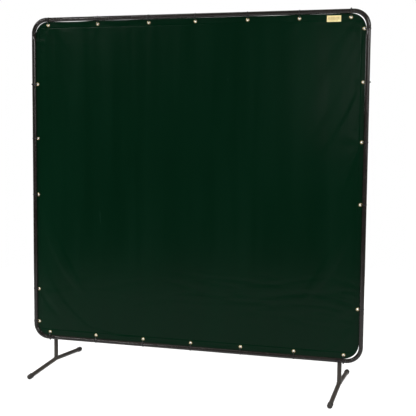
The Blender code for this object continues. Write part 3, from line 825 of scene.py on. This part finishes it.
def lowCreases(x, z):  # faint level wrinkles in the lower part, more of them towards the right
    here = smooth(z, 0.26, 0.36) * (1 - smooth(z, 0.50, 0.64)) * (0.35 + 0.65 * smooth(x, -0.4, 0.6))
    drift = z * 34 + 1.6 * noise.noise(Vector((x * 2.2, z * 4, 5.1)))
    ridge = 1 - abs(noise.noise(Vector((x * 3.1, drift, 2.4)))) * 2
    return curtain["creaseHeight"] * here * max(0, ridge) ** 3


def edgeSag(x, flatZ):  # how far the sheet's edge is drawn in here, along X and along Z
    inX = inZ = 0.0
    for side, place, half, depth in curtain["sags"]:
        if side == "top" and flatZ > 0 and abs(x - place) < half:
            inZ += depth * smooth(half - abs(x - place), 0, half * 0.8)
        if side == "right" and x > 0 and abs(flatZ - place) < half:
            inX += depth * smooth(half - abs(flatZ - place), 0, half * 0.8)
    return inX, inZ


def sheetPoint(tree, x, flatZ, share):  # one point of the hung sheet's middle surface
    inX, inZ = edgeSag(x, flatZ)
    x, z = x - inX * share, flatZ - inZ * share + curtain["midZ"]
    hit = tree.ray_cast(Vector((x, -1, z)), yWay)[0]
    if hit is None:
        hit = tree.find_nearest(Vector((x, planeY, z)))[0]
    most = curtain["mostBulge"]
    bulge = most * math.tanh((hit.y - planeY) / most)
    relief = (bulge + hemDraws(x, z) + fanFolds(x, z) + lowCreases(x, z)) * eyeletCalm(x, z)
    return Vector((x, planeY + relief, z))


def eyeletPunch():  # one round cutter through each eyelet's place
    bm = bmesh.new()
    count = curtain["holeSides"]
    for _, eyelet, _, _ in spots:
        ends = []
        for d in (-0.006, 0.006):
            ring = circleRing(eyelet + yWay * d, xWay, zWay, curtain["eyeletHole"], count)
            ends.append([bm.verts.new(p) for p in ring])
        bm.faces.new(ends[0])
        bm.faces.new(reversed(ends[1]))
        for i in range(count):
            j = (i + 1) % count
            bm.faces.new((ends[0][i], ends[1][i], ends[1][j], ends[0][j]))
    bmesh.ops.recalc_face_normals(bm, faces=bm.faces)
    return meshFromBm("punch", bm)


def buildCurtain():
    tree = hangCloth()
    film, hemFilm, hemStart = curtain["film"], curtain["hemFilm"], curtain["hemStart"]
    weldEnd = curtain["weld"] / curtain["topHem"]
    steps = (hemStart - 0.01, hemStart + 0.005, weldEnd, weldEnd + 0.02, *curtain["hemSteps"])
    points, faces, band, rim = sheetLayout(curtain["cell"], steps)
    front, back = [], []
    for (x, flatZ), share in zip(points, band):
        point = sheetPoint(tree, x, flatZ, share)
        groove = curtain["weldGroove"] if hemStart < share < weldEnd + 0.001 else 0
        edge = curtain["rimSoft"] if share > 0.99 else 0
        layers = hemFilm if share > hemStart else film
        front.append(point - yWay * (film / 2 - groove - edge))
        back.append(point + yWay * (layers - film / 2 - edge))
    count = len(front)
    skin = [tuple(reversed(f)) for f in faces] + [tuple(i + count for i in f) for f in faces]
    for a in range(len(rim)):
        b = (a + 1) % len(rim)
        skin.append((rim[a], rim[b], rim[b] + count, rim[a] + count))
    mesh = meshFrom("curtainSheet", front + back, skin, 60)
    piece = addPiece("curtainSheet", mesh, curtainVinyl, "frame", "curtain_vinyl", "curtain")
    cutWith(piece, eyeletPunch(), 60)
    return piece


curtainSheet = buildCurtain()
print("curtain hung")

# brass eyelets: the front half has a rolled ring, the back half is a washer with a bead over it
eyelet = {
    "bore": 0.0043,
    "flange": 0.0090,
    "dome": 0.0013,
    "sides": 40,
    "ringSteps": 10,
    "beadSteps": 6,
    "lift": 0.00005,  # clearance to the film
}


def eyeletProfile():
    front = -curtain["film"] / 2 - eyelet["lift"]
    back = curtain["hemFilm"] - curtain["film"] / 2 + eyelet["lift"]
    inner, outer = eyelet["bore"], eyelet["flange"]
    mid, half = (inner + outer) / 2, (outer - inner) / 2
    ring = [(inner, (front + back) / 2)]
    for i in range(eyelet["ringSteps"] + 1):
        t = math.pi * (1 - i / eyelet["ringSteps"])
        ring.append((mid + half * math.cos(t), front - 0.00015 - eyelet["dome"] * math.sin(t)))
    ring += [(outer, front), (inner + 0.0009, front), (inner + 0.0009, back)]
    ring += [(outer - 0.0002, back), (outer, back + 0.0003)]
    ring += [(outer - 0.0004, back + 0.0006), (inner + 0.0022, back + 0.0005)]
    for i in range(eyelet["beadSteps"] + 1):
        t = -0.3 + math.pi * 1.15 * i / eyelet["beadSteps"]
        ring.append((inner + 0.0011 + 0.0010 * math.cos(t), back + 0.0006 + 0.0009 * math.sin(t)))
    return ring


def addEyelets():
    start, sides = Vector((0, 0, 0)), eyelet["sides"]
    shape = latheMesh("eyeletShape", eyeletProfile(), start, yWay, xWay, sides, closed=True, sharpAngle=50)
    for node, spot, _, _ in spots:
        spin = Matrix.Rotation(random.random() * 6.28, 4, "Y")
        mesh = shape.copy()
        mesh.transform(Matrix.Translation(spot) @ spin)
        name = pieceName("eyelet", node.replace("tie", ""))
        addPiece(name, mesh, eyeletBrass, "frame", "eyelet_brass")


addEyelets()
print("eyelets pressed")

tie = {
    "width": 0.0046,
    "thick": 0.0011,
    "clear": 0.0004,  # strap to tube
    "turnRadius": 0.0029,
    "arcSteps": 30,
    "turnSteps": 8,
    "edgeRound": 0.28,  # as a share of the thickness
    "grooveDepth": 0.00012,
    "head": (0.0080, 0.0065, 0.0036),
    "headRound": 0.0008,
    "headTaper": 0.93,
    "headTurn": math.radians(65),
    "headLift": 0.0002,
    "outward": ("tie_top_7", "tie_bottom_1", "tie_bottom_7", "tie_left_1", "tie_right_2"),
    "slot": (0.0052, 0.0023, 0.0012),
    "stub": 0.0005,  # how far the cut end stands out of the head
    "stubDepth": 0.0030,
    "holeRadius": 0.0045,  # the model's eight-sided eyelet hole, which the strap's turn stays inside
    "holeClear": 0.0003,
    "holeSlack": 0.0006,
}


def strapSection():  # (across, out from the strap's middle), with a shallow groove on the outside
    w, h, r = tie["width"] / 2, tie["thick"] / 2, tie["thick"] * tie["edgeRound"]
    low = h - tie["grooveDepth"]
    inside = [(-w, -h + r), (-w + r, -h), (w - r, -h), (w, -h + r)]
    outside = [(w, h - r), (w - r, h), (w * 0.6, h), (w * 0.55, low)]
    return inside + outside + [(-x, n) for x, n in reversed(outside)]


def strapLoop(bm, reach):  # closed strap; the tube runs along X and the eyelet lies towards -Z
    wrap = tubes["radius"] + tie["clear"] + tie["thick"] / 2
    small = tie["turnRadius"]
    far = reach - small
    tangent = math.acos((wrap - small) / far)
    path = []  # ((towards the eyelet, back), outward direction)
    for i in range(tie["arcSteps"] + 1):
        t = tangent + (2 * math.pi - 2 * tangent) * i / tie["arcSteps"]
        path.append(((wrap * math.cos(t), wrap * math.sin(t)), (math.cos(t), math.sin(t))))
    for i in range(tie["turnSteps"] + 1):
        t = -tangent + 2 * tangent * i / tie["turnSteps"]
        path.append(((far + small * math.cos(t), small * math.sin(t)), (math.cos(t), math.sin(t))))
    section = strapSection()
    rings = []
    for (inward, back), (nIn, nBack) in path:
        rings.append([bm.verts.new((x, back + n * nBack, -(inward + n * nIn))) for x, n in section])
    for a in range(len(rings)):
        first, second = rings[a], rings[(a + 1) % len(rings)]
        for i in range(len(section)):
            j = (i + 1) % len(section)
            bm.faces.new((first[i], first[j], second[j], second[i]))


def tieHead(bm, turn):  # ratchet head with its slot and the strap's cut end, turned round the tube
    part = bmesh.new()
    width, length, height = tie["head"]
    bmesh.ops.create_cube(part, size=1)
    low = tubes["radius"] + tie["clear"] + tie["headLift"]
    for v in part.verts:
        taper = tie["headTaper"] if v.co.z > 0 else 1.0
        v.co = Vector((v.co.x * width * taper, v.co.y * length * taper, low + (v.co.z + 0.5) * height))
    soft = tie["headRound"]
    bmesh.ops.bevel(part, geom=part.edges[:], offset=soft, segments=3, profile=0.6, affect="EDGES")
    top = max(part.faces, key=lambda f: f.calc_center_median().z + f.calc_area() * 1e3)
    bmesh.ops.inset_region(part, faces=[top], thickness=0.0009)
    for v in top.verts:  # the slot is narrower than the head
        v.co.x = math.copysign(tie["slot"][0] / 2, v.co.x)
        v.co.y = math.copysign(tie["slot"][1] / 2, v.co.y)
    floor = bmesh.ops.extrude_discrete_faces(part, faces=[top])["faces"][0]
    for v in floor.verts:
        v.co.z -= tie["slot"][2]
    deep = tie["stubDepth"]
    for v in bmesh.ops.create_cube(part, size=1)["verts"]:
        x, y = v.co.x * (tie["width"] - 0.0004), v.co.y * tie["thick"] + 0.0003
        v.co = Vector((x, y, low + height - deep + (v.co.z + 0.5) * (deep + tie["stub"])))
    bmesh.ops.transform(part, matrix=Matrix.Rotation(-turn, 4, "X"), verts=part.verts)
    joinBm(bm, part)


def addTies():
    free = tie["holeRadius"] * math.cos(math.pi / 8) - tie["holeClear"]
    inHole = math.sqrt(free ** 2 - (tie["width"] / 2) ** 2) - tie["holeSlack"]
    for node, spot, tube, turn in spots:
        bm = bmesh.new()
        strapLoop(bm, (spot - tube).length - inHole)
        headTurn = 0 if node in tie["outward"] else tie["headTurn"]
        tieHead(bm, headTurn + math.radians(random.uniform(-4, 4)))
        bmesh.ops.recalc_face_normals(bm, faces=bm.faces)
        place = Matrix.Translation(tube) @ Matrix.Rotation(turn, 4, "Y")
        bmesh.ops.transform(bm, matrix=place, verts=bm.verts)
        name = pieceName("cableTie", node.replace("tie", ""))
        addPiece(name, meshFromBm(name, bm, 40), tieNylon, "frame", "tie_nylon", node)


addTies()
print("cable ties closed")

# label patch, with plain bars instead of print
label = {
    "low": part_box("label_patch")[0],
    "high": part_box("label_patch")[1],
    "size": (0.070, 0.031),
    "columns": 36,
    "rows": 16,
    "thick": 0.00035,
    "curl": (0.0004, 0.003),  # how far its edges lift, and over what width
    "stitch": (0.00012, 0.0025, 0.0006),  # depth, distance from the edge and width of the seam
    "paper": (0.98, 0.82, 0.40),
    "shade": 0.82,
    "bars": (0.22, 0.13, 0.045),
    # each bar: down from the top, height, start and end from the left
    "barRows": (
        (0.0085, 0.0018, 0.006, 0.064),
        (0.0130, 0.0024, 0.006, 0.060),
        (0.0178, 0.0018, 0.006, 0.064),
        (0.0222, 0.0012, 0.010, 0.056),
    ),
}


def makeLabelFinish():
    finish, tree, shader, place = newFinish("labelPrint")
    along = splitVector(tree, -1200, 0, place)
    left, top = label["low"].x, label["high"].z
    bars = None
    for row, (down, tall, start, end) in enumerate(label["barRows"]):
        y = -row * 250
        inRow = mathNode(tree, "COMPARE", -900, y, along["Z"], top - down, tall / 2)
        middleX = left + (start + end) / 2
        inColumn = mathNode(tree, "COMPARE", -900, y - 100, along["X"], middleX, (end - start) / 2)
        bar = mathNode(tree, "MULTIPLY", -700, y, inRow, inColumn)
        bars = mathNode(tree, "MAXIMUM", -500, y, bars, bar) if bars else bar
    worn = useGroup(tree, mottle, -900, 600, place, Scale=420.0, Spread=0.35)
    bars = mathNode(tree, "MULTIPLY", -300, 0, bars, mapRange(tree, worn, -500, 300, 0, 1, 0.55, 0.95))
    stain = useGroup(tree, mottle, -900, 800, place, Scale=60.0, Spread=0.3)
    stained = tuple(v * label["shade"] for v in label["paper"])
    paper = mixColours(tree, stain, -500, 600, label["paper"], stained)
    tree.links.new(mixColours(tree, bars, 0, 300, paper, label["bars"]), shader.inputs["Base Color"])
    tree.links.new(mapRange(tree, stain, -100, 0, 0, 1, 0.42, 0.58), shader.inputs["Roughness"])
    weave = useGroup(tree, skinPeel, -500, -400, place, Scale=2400.0, Coarse=0.4)
    addBump(tree, shader, weave, 0.2, 0.0001)
    shader.inputs["Specular IOR Level"].default_value = 0.35
    return finish


def addLabel():
    skin = BVHTree.FromObject(curtainSheet, bpy.context.evaluated_depsgraph_get())
    columns, rows = label["columns"], label["rows"]
    low, high = label["low"], label["high"]
    curlHeight, curlReach = label["curl"]
    seamDepth, seamIn, seamWidth = label["stitch"]
    front, back = [], []
    for j in range(rows + 1):
        for i in range(columns + 1):
            u, v = i / columns, j / rows
            x, z = low.x + (high.x - low.x) * u, low.z + (high.z - low.z) * v
            hit = skin.ray_cast(Vector((x, -1, z)), yWay)[0]
            y = (hit.y if hit else planeY) - 0.0001
            edge = min(min(u, 1 - u) * label["size"][0], min(v, 1 - v) * label["size"][1])
            curl = curlHeight * math.exp(-edge / curlReach)
            stitched = seamDepth * math.exp(-((edge - seamIn) / seamWidth) ** 2)
            front.append(Vector((x, y - label["thick"] - curl + stitched, z)))
            back.append(Vector((x, y - curl * 0.6, z)))
    count, wide = len(front), columns + 1
    faces = []
    for j in range(rows):
        for i in range(columns):
            a = j * wide + i
            faces.append((a, a + 1, a + wide + 1, a + wide))
            faces.append((a + count, a + wide + count, a + wide + 1 + count, a + 1 + count))
    loop = list(range(wide)) + [j * wide + columns for j in range(1, rows + 1)]
    loop += [rows * wide + i for i in range(columns - 1, -1, -1)] + [j * wide for j in range(rows - 1, 0, -1)]
    for a in range(len(loop)):
        b = (a + 1) % len(loop)
        faces.append((loop[a], loop[b], loop[b] + count, loop[a] + count))
    mesh = meshFrom("labelPatch", front + back, faces, 60)
    addPiece("labelPatch", mesh, makeLabelFinish(), "frame", "label_print", "label_patch")


addLabel()
print("label sewn on")

leg = {
    "footLength": 0.650,
    "footRise": 0.022,
    "footSteps": 44,
    "bendRadius": 0.150,
    "bendSteps": 12,
    "capRadius": 0.0134,
    "capRound": 0.0085,
    "capLength": 0.034,
    "capEnd": 0.0043,  # thickness of the cap's end
    "capLip": 0.0004,
    "soleDepth": 0.0016,  # how much of the cap the flat sole takes away
    "beadRadius": 0.0021,
    "beadSteps": 144,
    "beadSides": 12,
    "beadRipples": 26,
    "plugFlange": 0.0022,
    "plugDepth": 0.012,
}
slope = math.atan2(leg["footRise"], leg["footLength"] / 2 - leg["capRadius"])
bendHalf = leg["bendRadius"] * math.sin(slope)


def footAxis(distance):  # (y, z) on the foot's centre line, this far in from a cap's end
    y = leg["footLength"] / 2 - distance * math.cos(slope)
    return y, leg["capRadius"] - leg["soleDepth"] + distance * math.sin(slope)


footEndY, footEndZ = footAxis(leg["capEnd"])


def footHeight(y):  # the centre line's height at this y
    if abs(y) >= bendHalf:
        return footEndZ + (footEndY - abs(y)) * math.tan(slope)
    bendZ = footEndZ + (footEndY - bendHalf) * math.tan(slope)
    return bendZ - leg["bendRadius"] * math.cos(slope) + math.sqrt(leg["bendRadius"] ** 2 - y ** 2)


def saddle(x, y):  # height of the foot's top skin under the post
    return footHeight(y) + math.sqrt(max(0, tubes["radius"] ** 2 - x ** 2)) / math.cos(slope)


def addFoot(side, x):
    steps, bends = leg["footSteps"], leg["bendSteps"]
    places = [-footEndY + footEndY * 2 * i / steps for i in range(steps + 1)]
    places += [bendHalf * (2 * i / bends - 1) for i in range(bends + 1)]
    places = sorted(set(round(y, 5) for y in places))
    stations = []
    for y in places:
        rise = (footHeight(y + 0.0002) - footHeight(y - 0.0002)) / 0.0004
        if y in (places[0], places[-1]):
            rise = math.copysign(math.tan(slope), -y)
        stations.append((Vector((x, y, footHeight(y))), Vector((0, 1, rise)).normalized()))
    outer, inner, sides = tubes["radius"], tubes["radius"] - tubes["wall"], tubes["sides"]
    rings = [circleRing(c, xWay, way.cross(xWay), outer, sides) for c, way in stations]
    rings += [circleRing(c, xWay, way.cross(xWay), inner, sides) for c, way in reversed(stations)]
    loftPiece(side + "FootTube", rings, legPaintedLightCoat, "leg_" + side, "frame_powder_coat", "foot_tube_" + side)


def addPost(side, x):
    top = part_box("leg_post_" + side)[1].z
    outer, inner, sides = tubes["radius"], tubes["radius"] - tubes["wall"], tubes["sides"]
    centre, lip = Vector((x, 0, 0)), tubes["endRound"]
    rings = []
    for radius in (inner, outer):  # coped end that sits on the foot
        ring = circleRing(Vector((0, 0, 0)), xWay, yWay, radius, sides)
        rings.append([Vector((x + p.x, p.y, saddle(p.x, p.y) + 0.0001)) for p in ring])
    low = footHeight(0) + outer + 0.004
    profile = [(low + (top - low) * i / 4, outer) for i in range(4)]
    profile += [(top - lip, outer), (top - lip * 0.3, outer - lip * 0.3), (top, outer - lip)]
    profile += [(top, inner), (top - tubes["endDepth"], inner)]
    rings += [circleRing(centre + zWay * h, xWay, yWay, r, sides) for h, r in profile]
    loftPiece(side + "Post", rings, legPaintedLightCoat, "leg_" + side, "frame_powder_coat", "leg_post_" + side)


def addWeld(side, x):  # rippled bead laid round the post where it meets the foot
    steps, sides = leg["beadSteps"], leg["beadSides"]
    turns = [2 * math.pi * i / steps for i in range(steps)]
    path = []
    for t in turns:
        r = tubes["radius"] + 0.0004
        px, py = r * math.cos(t), r * math.sin(t)
        path.append(Vector((x + px, py, saddle(px * 0.99, py) + 0.0002)))
    rings = []
    for i, t in enumerate(turns):
        way = (path[(i + 1) % steps] - path[i - 1]).normalized()
        out = Vector((math.cos(t), math.sin(t), 0))
        out = (out - way * out.dot(way)).normalized()
        up = way.cross(out)
        ripple = abs(math.sin(t * leg["beadRipples"] / 2))
        size = leg["beadRadius"] * (0.86 + 0.12 * ripple + 0.10 * noise.noise(Vector((t * 3, x, 0.5))))
        rings.append(circleRing(path[i], out * 1.05, up * 0.9, size, sides))
    loftPiece(side + "Weld", rings, weldCoat, "leg_" + side, "frame_powder_coat", sharpAngle=80)


def addCap(side, x, end):
    radius, bend, lip, length = leg["capRadius"], leg["capRound"], leg["capLip"], leg["capLength"]
    grip = tubes["radius"] + 0.0001
    profile = [(0, 0)]
    for i in range(1, 11):
        t = math.pi / 2 * i / 10
        profile.append((radius - bend * (1 - math.sin(t)), -bend * (1 - math.cos(t))))
    profile += [(radius, -0.016), (radius, -0.0275), (radius + lip, -0.0282), (radius + lip, -0.0322)]
    profile += [(radius - 0.0002, -length + 0.0002), (grip + 0.0003, -length), (grip, -length + 0.0004)]
    profile += [(grip, -leg["capEnd"]), (0, -leg["capEnd"])]
    axis = Vector((0, end * math.cos(slope), -math.sin(slope)))
    y, z = footAxis(0)
    name = side + "Cap" + ("Front" if end < 0 else "Back")
    mesh = latheMesh(name, profile, Vector((x, end * y, z)), axis, xWay, 56)
    for v in mesh.vertices:  # the sole is worn flat on the floor
        v.co.z = max(v.co.z, 0.0)
    node = f"foot_cap_{side}_" + ("front" if end < 0 else "back")
    addPiece(name, mesh, capPlastic, "leg_" + side, "cap_plastic", node)


def addPlug(side, x):
    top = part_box("post_plug_" + side)[1].z
    seat, outer = top - leg["plugFlange"], tubes["radius"]
    bore, low = outer - tubes["wall"] - 0.0001, seat - leg["plugDepth"]
    profile = [(0, top), (outer * 0.30, top - 0.0001), (outer * 0.62, top - 0.0004)]
    profile += [(outer * 0.85, top - 0.0009), (outer - 0.0002, top - 0.0015)]
    profile += [(outer, seat + 0.0003), (outer - 0.0002, seat), (bore, seat), (bore, low), (0, low)]
    mesh = latheMesh(side + "PostPlug", profile, Vector((x, 0, 0)), zWay, xWay)
    addPiece(side + "PostPlug", mesh, capPlastic, "leg_" + side, "cap_plastic", "post_plug_" + side)


# hardware that holds a leg to the bottom rail
fixing = {
    "boltRadius": 0.0030,
    "threadPitch": 0.0010,
    "threadDepth": 0.00055,
    "threadStart": 0.008,  # before the middle of the wing nut
    "headRadius": 0.0072,
    "headHeight": 0.0034,
    # the head's dome, as shares of its radius and of its height
    "headDome": ((0.45, 0.0), (0.60, 0.08), (0.75, 0.24), (0.88, 0.48), (0.96, 0.72), (1.0, 0.92)),
    "socket": 0.0020,  # centre to a flat of the hexagon
    "socketDepth": 0.0019,
    "hole": 0.0033,
    "ringSides": 56,
    "hubRadius": (0.0058, 0.0046),
    "hubHeight": 0.0070,
    # one wing's outline: (out from the bolt, along it)
    "wing": (
        (0.0040, 0.0021),
        (0.0105, 0.0032),
        (0.0140, 0.0088),
        (0.0136, 0.0125),
        (0.0101, 0.0125),
        (0.0040, 0.0060),
    ),
    "wingThick": 0.0022,
    "wingRound": 0.0009,
}


def addBolt(side, x, z):
    low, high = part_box("leg_bolt_" + side)
    front, end, head, sides = low.y, high.y, fixing["headHeight"], 48
    flat, deep, r, big = fixing["socket"], fixing["socketDepth"], fixing["boltRadius"], fixing["headRadius"]

    def hexRing(y, flat):
        ring = []
        for i in range(sides):
            t = 2 * math.pi * i / sides
            part = (t + math.pi / 6) % (math.pi / 3) - math.pi / 6
            out = flat / math.cos(part)
            ring.append(Vector((x + out * math.cos(t), y, z + out * math.sin(t))))
        return ring

    def roundRing(y, radius):
        return circleRing(Vector((x, y, z)), xWay, zWay, radius, sides)

    rings = [roundRing(front + deep + 0.0004, 1e-5), hexRing(front + deep, flat)]
    rings += [hexRing(front + 0.0003, flat), hexRing(front, flat + 0.0003)]
    rings += [roundRing(front + head * depth, big * share) for share, depth in fixing["headDome"]]
    rings += [roundRing(front + head, big - 0.0002), roundRing(front + head, r)]
    y = middle("wing_nut_" + side).y - fixing["threadStart"]
    while y < end - 0.0012:
        rings.append(roundRing(y, r))
        rings.append(roundRing(y + fixing["threadPitch"] / 2, r - fixing["threadDepth"]))
        y += fixing["threadPitch"]
    rings += [roundRing(end - 0.0007, r - 0.0002), roundRing(end, r - 0.0009), roundRing(end, 1e-5)]
    name, node = side + "LegBolt", "leg_bolt_" + side
    loftPiece(name, rings, blackBolt, "frame", "bolt_black", node, closed=False, sharpAngle=30)


def addRound(name, node, x, z, finish, slot, soften):  # flat ring on the bolt: spacer or washer
    low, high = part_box(node)
    outer, hole = (high.x - low.x) / 2 + 0.0001, fixing["hole"]
    a, b, s = low.y, high.y, soften
    front = [(hole, a + s), (hole + s, a), (outer - s, a), (outer - s * 0.3, a + s * 0.3), (outer, a + s)]
    profile = front + [(r, b - (y - a)) for r, y in reversed(front)]
    mesh = latheMesh(name, profile, Vector((x, 0, z)), yWay, xWay, fixing["ringSides"], closed=True)
    addPiece(name, mesh, finish, "frame", slot, node)


def addWingNut(side, x, z):
    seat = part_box("wing_nut_" + side)[0].y
    low, high = fixing["hubRadius"]
    hole, top = fixing["hole"], seat + fixing["hubHeight"]
    profile = [(hole + 0.0004, seat), (low - 0.0003, seat), (low, seat + 0.0004)]
    profile += [(low - 0.0002, seat + 0.0016)]
    profile += [(high, top - 0.0007), (high - 0.0006, top), (hole + 0.0004, top)]
    profile += [(hole, top - 0.0004), (hole, seat + 0.0004)]
    hub = latheMesh("hub", profile, Vector((x, 0, z)), yWay, xWay, closed=True)
    bm = bmesh.new()
    bm.from_mesh(hub)
    bpy.data.meshes.remove(hub)
    half, count = fixing["wingThick"] / 2, len(fixing["wing"])
    for way in (-1, 1):
        part = bmesh.new()
        skins = []
        for across in (-half, half):
            outline = [(x + way * px, seat + py, z + across) for px, py in fixing["wing"]]
            skins.append([part.verts.new(p) for p in outline])
        part.faces.new(skins[0])
        part.faces.new(skins[1][::-1])
        for i in range(count):
            j = (i + 1) % count
            part.faces.new((skins[0][i], skins[1][i], skins[1][j], skins[0][j]))
        bmesh.ops.recalc_face_normals(part, faces=part.faces)
        soft = fixing["wingRound"]
        bmesh.ops.bevel(part, geom=part.edges[:], offset=soft, segments=4, profile=0.5, affect="EDGES")
        joinBm(bm, part)
    node = "wing_nut_" + side
    addPiece(side + "WingNut", meshFromBm(side + "WingNut", bm, 40), zincPlate, node, "zinc_plate", node)


for side in ("left", "right"):
    spot = middle("washer_" + side)
    addFoot(side, spot.x)
    addPost(side, spot.x)
    addWeld(side, spot.x)
    for end in (-1, 1):
        addCap(side, spot.x, end)
    addPlug(side, spot.x)
    addBolt(side, spot.x, spot.z)
    addRound(side + "Spacer", "spacer_" + side, spot.x, spot.z, capPlastic, "cap_plastic", 0.0004)
    addRound(side + "Washer", "washer_" + side, spot.x, spot.z, zincPlate, "zinc_plate", 0.0003)
    addWingNut(side, spot.x, spot.z)
print("legs bolted on")

studio = {
    "floorRadius": 14.0,
    "floorDrop": 0.0005,
    "fadeFrom": 2.8,
    "fadeTo": 4.2,
    "solid": 0.42,  # how much of the floor is solid; the pale backdrop shows through the rest
    "floorTone": (0.86, 0.86, 0.86),
    "floorGlow": 0.70,
    "backdrop": 1.0,
    "ambient": 0.04,
}
softSun = {"strength": 1.4, "soft": 60, "turn": (20, 0, -28)}  # in degrees
# each light: place, what it aims at, size, power, and whether gloss mirrors it
lightBoxes = {
    "keyBox": ((-3.5, -4.5, 3.75), (-0.2, 0, 1.2), (2.4, 0.3), 75, True),
    "slimBox": ((0.2, -4.8, 1.85), (0.7, 0, 1.4), (0.5, 1.2), 4, True),
    "rightBox": ((3.0, -3.0, 2.6), (0.6, 0, 1.5), (1.6, 1.6), 62, True),
    "fillBox": ((4.2, -1.2, 2.0), (0, 0, 1.0), (1.2, 2.0), 14, True),
    "topStrip": ((-0.6, 0.6, 4.6), (0, 0.3, 1.0), (4.5, 1.0), 16, True),
    "backBox": ((0.4, 2.6, 4.5), (0, 0.8, 0.4), (4.0, 1.2), 26, True),
    "rearFill": ((0.5, 6.8, 3.2), (0, 0, 1.0), (3.0, 2.0), 260, False),
    "leftWash": ((-2.6, -0.8, 2.4), (-0.6, 0, 1.3), (0.8, 0.8), 32, False),
    "rightWash": ((2.7, -0.8, 2.6), (0.7, 0, 1.5), (0.8, 0.8), 32, False),
    "lowWash": ((-2.2, -0.9, 0.25), (-0.5, 0, 0.4), (0.6, 0.6), 14, False),
}
shot = {
    "place": (1.381, -4.416, 1.317),
    "azimuth": math.radians(16.33),
    "elevation": math.radians(5.02),
    "roll": math.radians(0.52),
    "lens": 76.0,
}


def makeFloor():
    finish, tree, shader, place = newFinish("studioFloor")
    shader.inputs["Base Color"].default_value = (*studio["floorTone"], 1)
    shader.inputs["Roughness"].default_value = 0.9
    shader.inputs["Specular IOR Level"].default_value = 0.1
    shader.inputs["Emission Color"].default_value = (1, 1, 1, 1)
    shader.inputs["Emission Strength"].default_value = studio["floorGlow"]
    away = addNode(tree, "ShaderNodeVectorMath", -900, 0, {0: place}, operation="LENGTH")
    reach = studio["fadeFrom"], studio["fadeTo"]
    fade = mapRange(tree, away.outputs["Value"], -600, 0, *reach, 1 - studio["solid"], 1)
    clear = addNode(tree, "ShaderNodeBsdfTransparent", 500, 300)
    skins = {0: fade, 1: shader.outputs[0], 2: clear.outputs[0]}
    blend = addNode(tree, "ShaderNodeMixShader", 850, 100, skins)
    tree.links.new(blend.outputs[0], tree.nodes["Material Output"].inputs[0])
    bm = bmesh.new()
    bmesh.ops.create_circle(bm, cap_ends=True, radius=studio["floorRadius"], segments=96)
    mesh = meshFromBm("studioFloor", bm)
    mesh.materials.append(finish)
    floor = bpy.data.objects.new("studioFloor", mesh)
    floor.location.z = -studio["floorDrop"]
    bpy.context.collection.objects.link(floor)


def makeWorld():
    world = bpy.data.worlds.new("studioWorld")
    bpy.context.scene.world = world
    world.use_nodes = True
    tree = world.node_tree
    back = tree.nodes["Background"]
    seen = addNode(tree, "ShaderNodeLightPath", -600, 0).outputs["Is Camera Ray"]
    power = mapRange(tree, seen, -300, 0, 0, 1, studio["ambient"], studio["backdrop"])
    back.inputs["Color"].default_value = (1, 1, 1, 1)
    tree.links.new(power, back.inputs["Strength"])


def addLights():
    sun = bpy.data.lights.new("softSun", "SUN")
    sun.energy = softSun["strength"]
    sun.angle = math.radians(softSun["soft"])
    sunSpot = bpy.data.objects.new("softSun", sun)
    sunSpot.rotation_euler = [math.radians(turn) for turn in softSun["turn"]]
    sunSpot.visible_glossy = False
    bpy.context.collection.objects.link(sunSpot)
    for name, (place, aim, size, power, mirrored) in lightBoxes.items():
        lamp = bpy.data.lights.new(name, "AREA")
        lamp.shape = "RECTANGLE"
        lamp.size, lamp.size_y = size
        lamp.energy = power
        box = bpy.data.objects.new(name, lamp)
        box.location = place
        box.rotation_euler = (Vector(aim) - Vector(place)).to_track_quat("-Z", "Y").to_euler()
        box.visible_camera = False
        box.visible_glossy = mirrored
        bpy.context.collection.objects.link(box)


def addCamera():
    a, e, r = shot["azimuth"], shot["elevation"], shot["roll"]
    back = Vector((math.sin(a) * math.cos(e), -math.cos(a) * math.cos(e), math.sin(e)))
    right = Vector((math.cos(a), math.sin(a), 0))
    up = back.cross(right)
    tiltRight = math.cos(r) * right + math.sin(r) * up
    tiltUp = math.cos(r) * up - math.sin(r) * right
    lens = bpy.data.cameras.new("shotCamera")
    lens.lens, lens.sensor_width = shot["lens"], 36
    lens.clip_end = 200
    camera = bpy.data.objects.new("shotCamera", lens)
    bpy.context.collection.objects.link(camera)
    turn = Matrix((tiltRight, tiltUp, back)).transposed().to_4x4()
    camera.matrix_world = Matrix.Translation(shot["place"]) @ turn
    bpy.context.scene.camera = camera


makeFloor()
makeWorld()
addLights()
addCamera()
bpy.context.scene.view_settings.view_transform = "Standard"
print("studio ready")

bpy.context.view_layer.update()
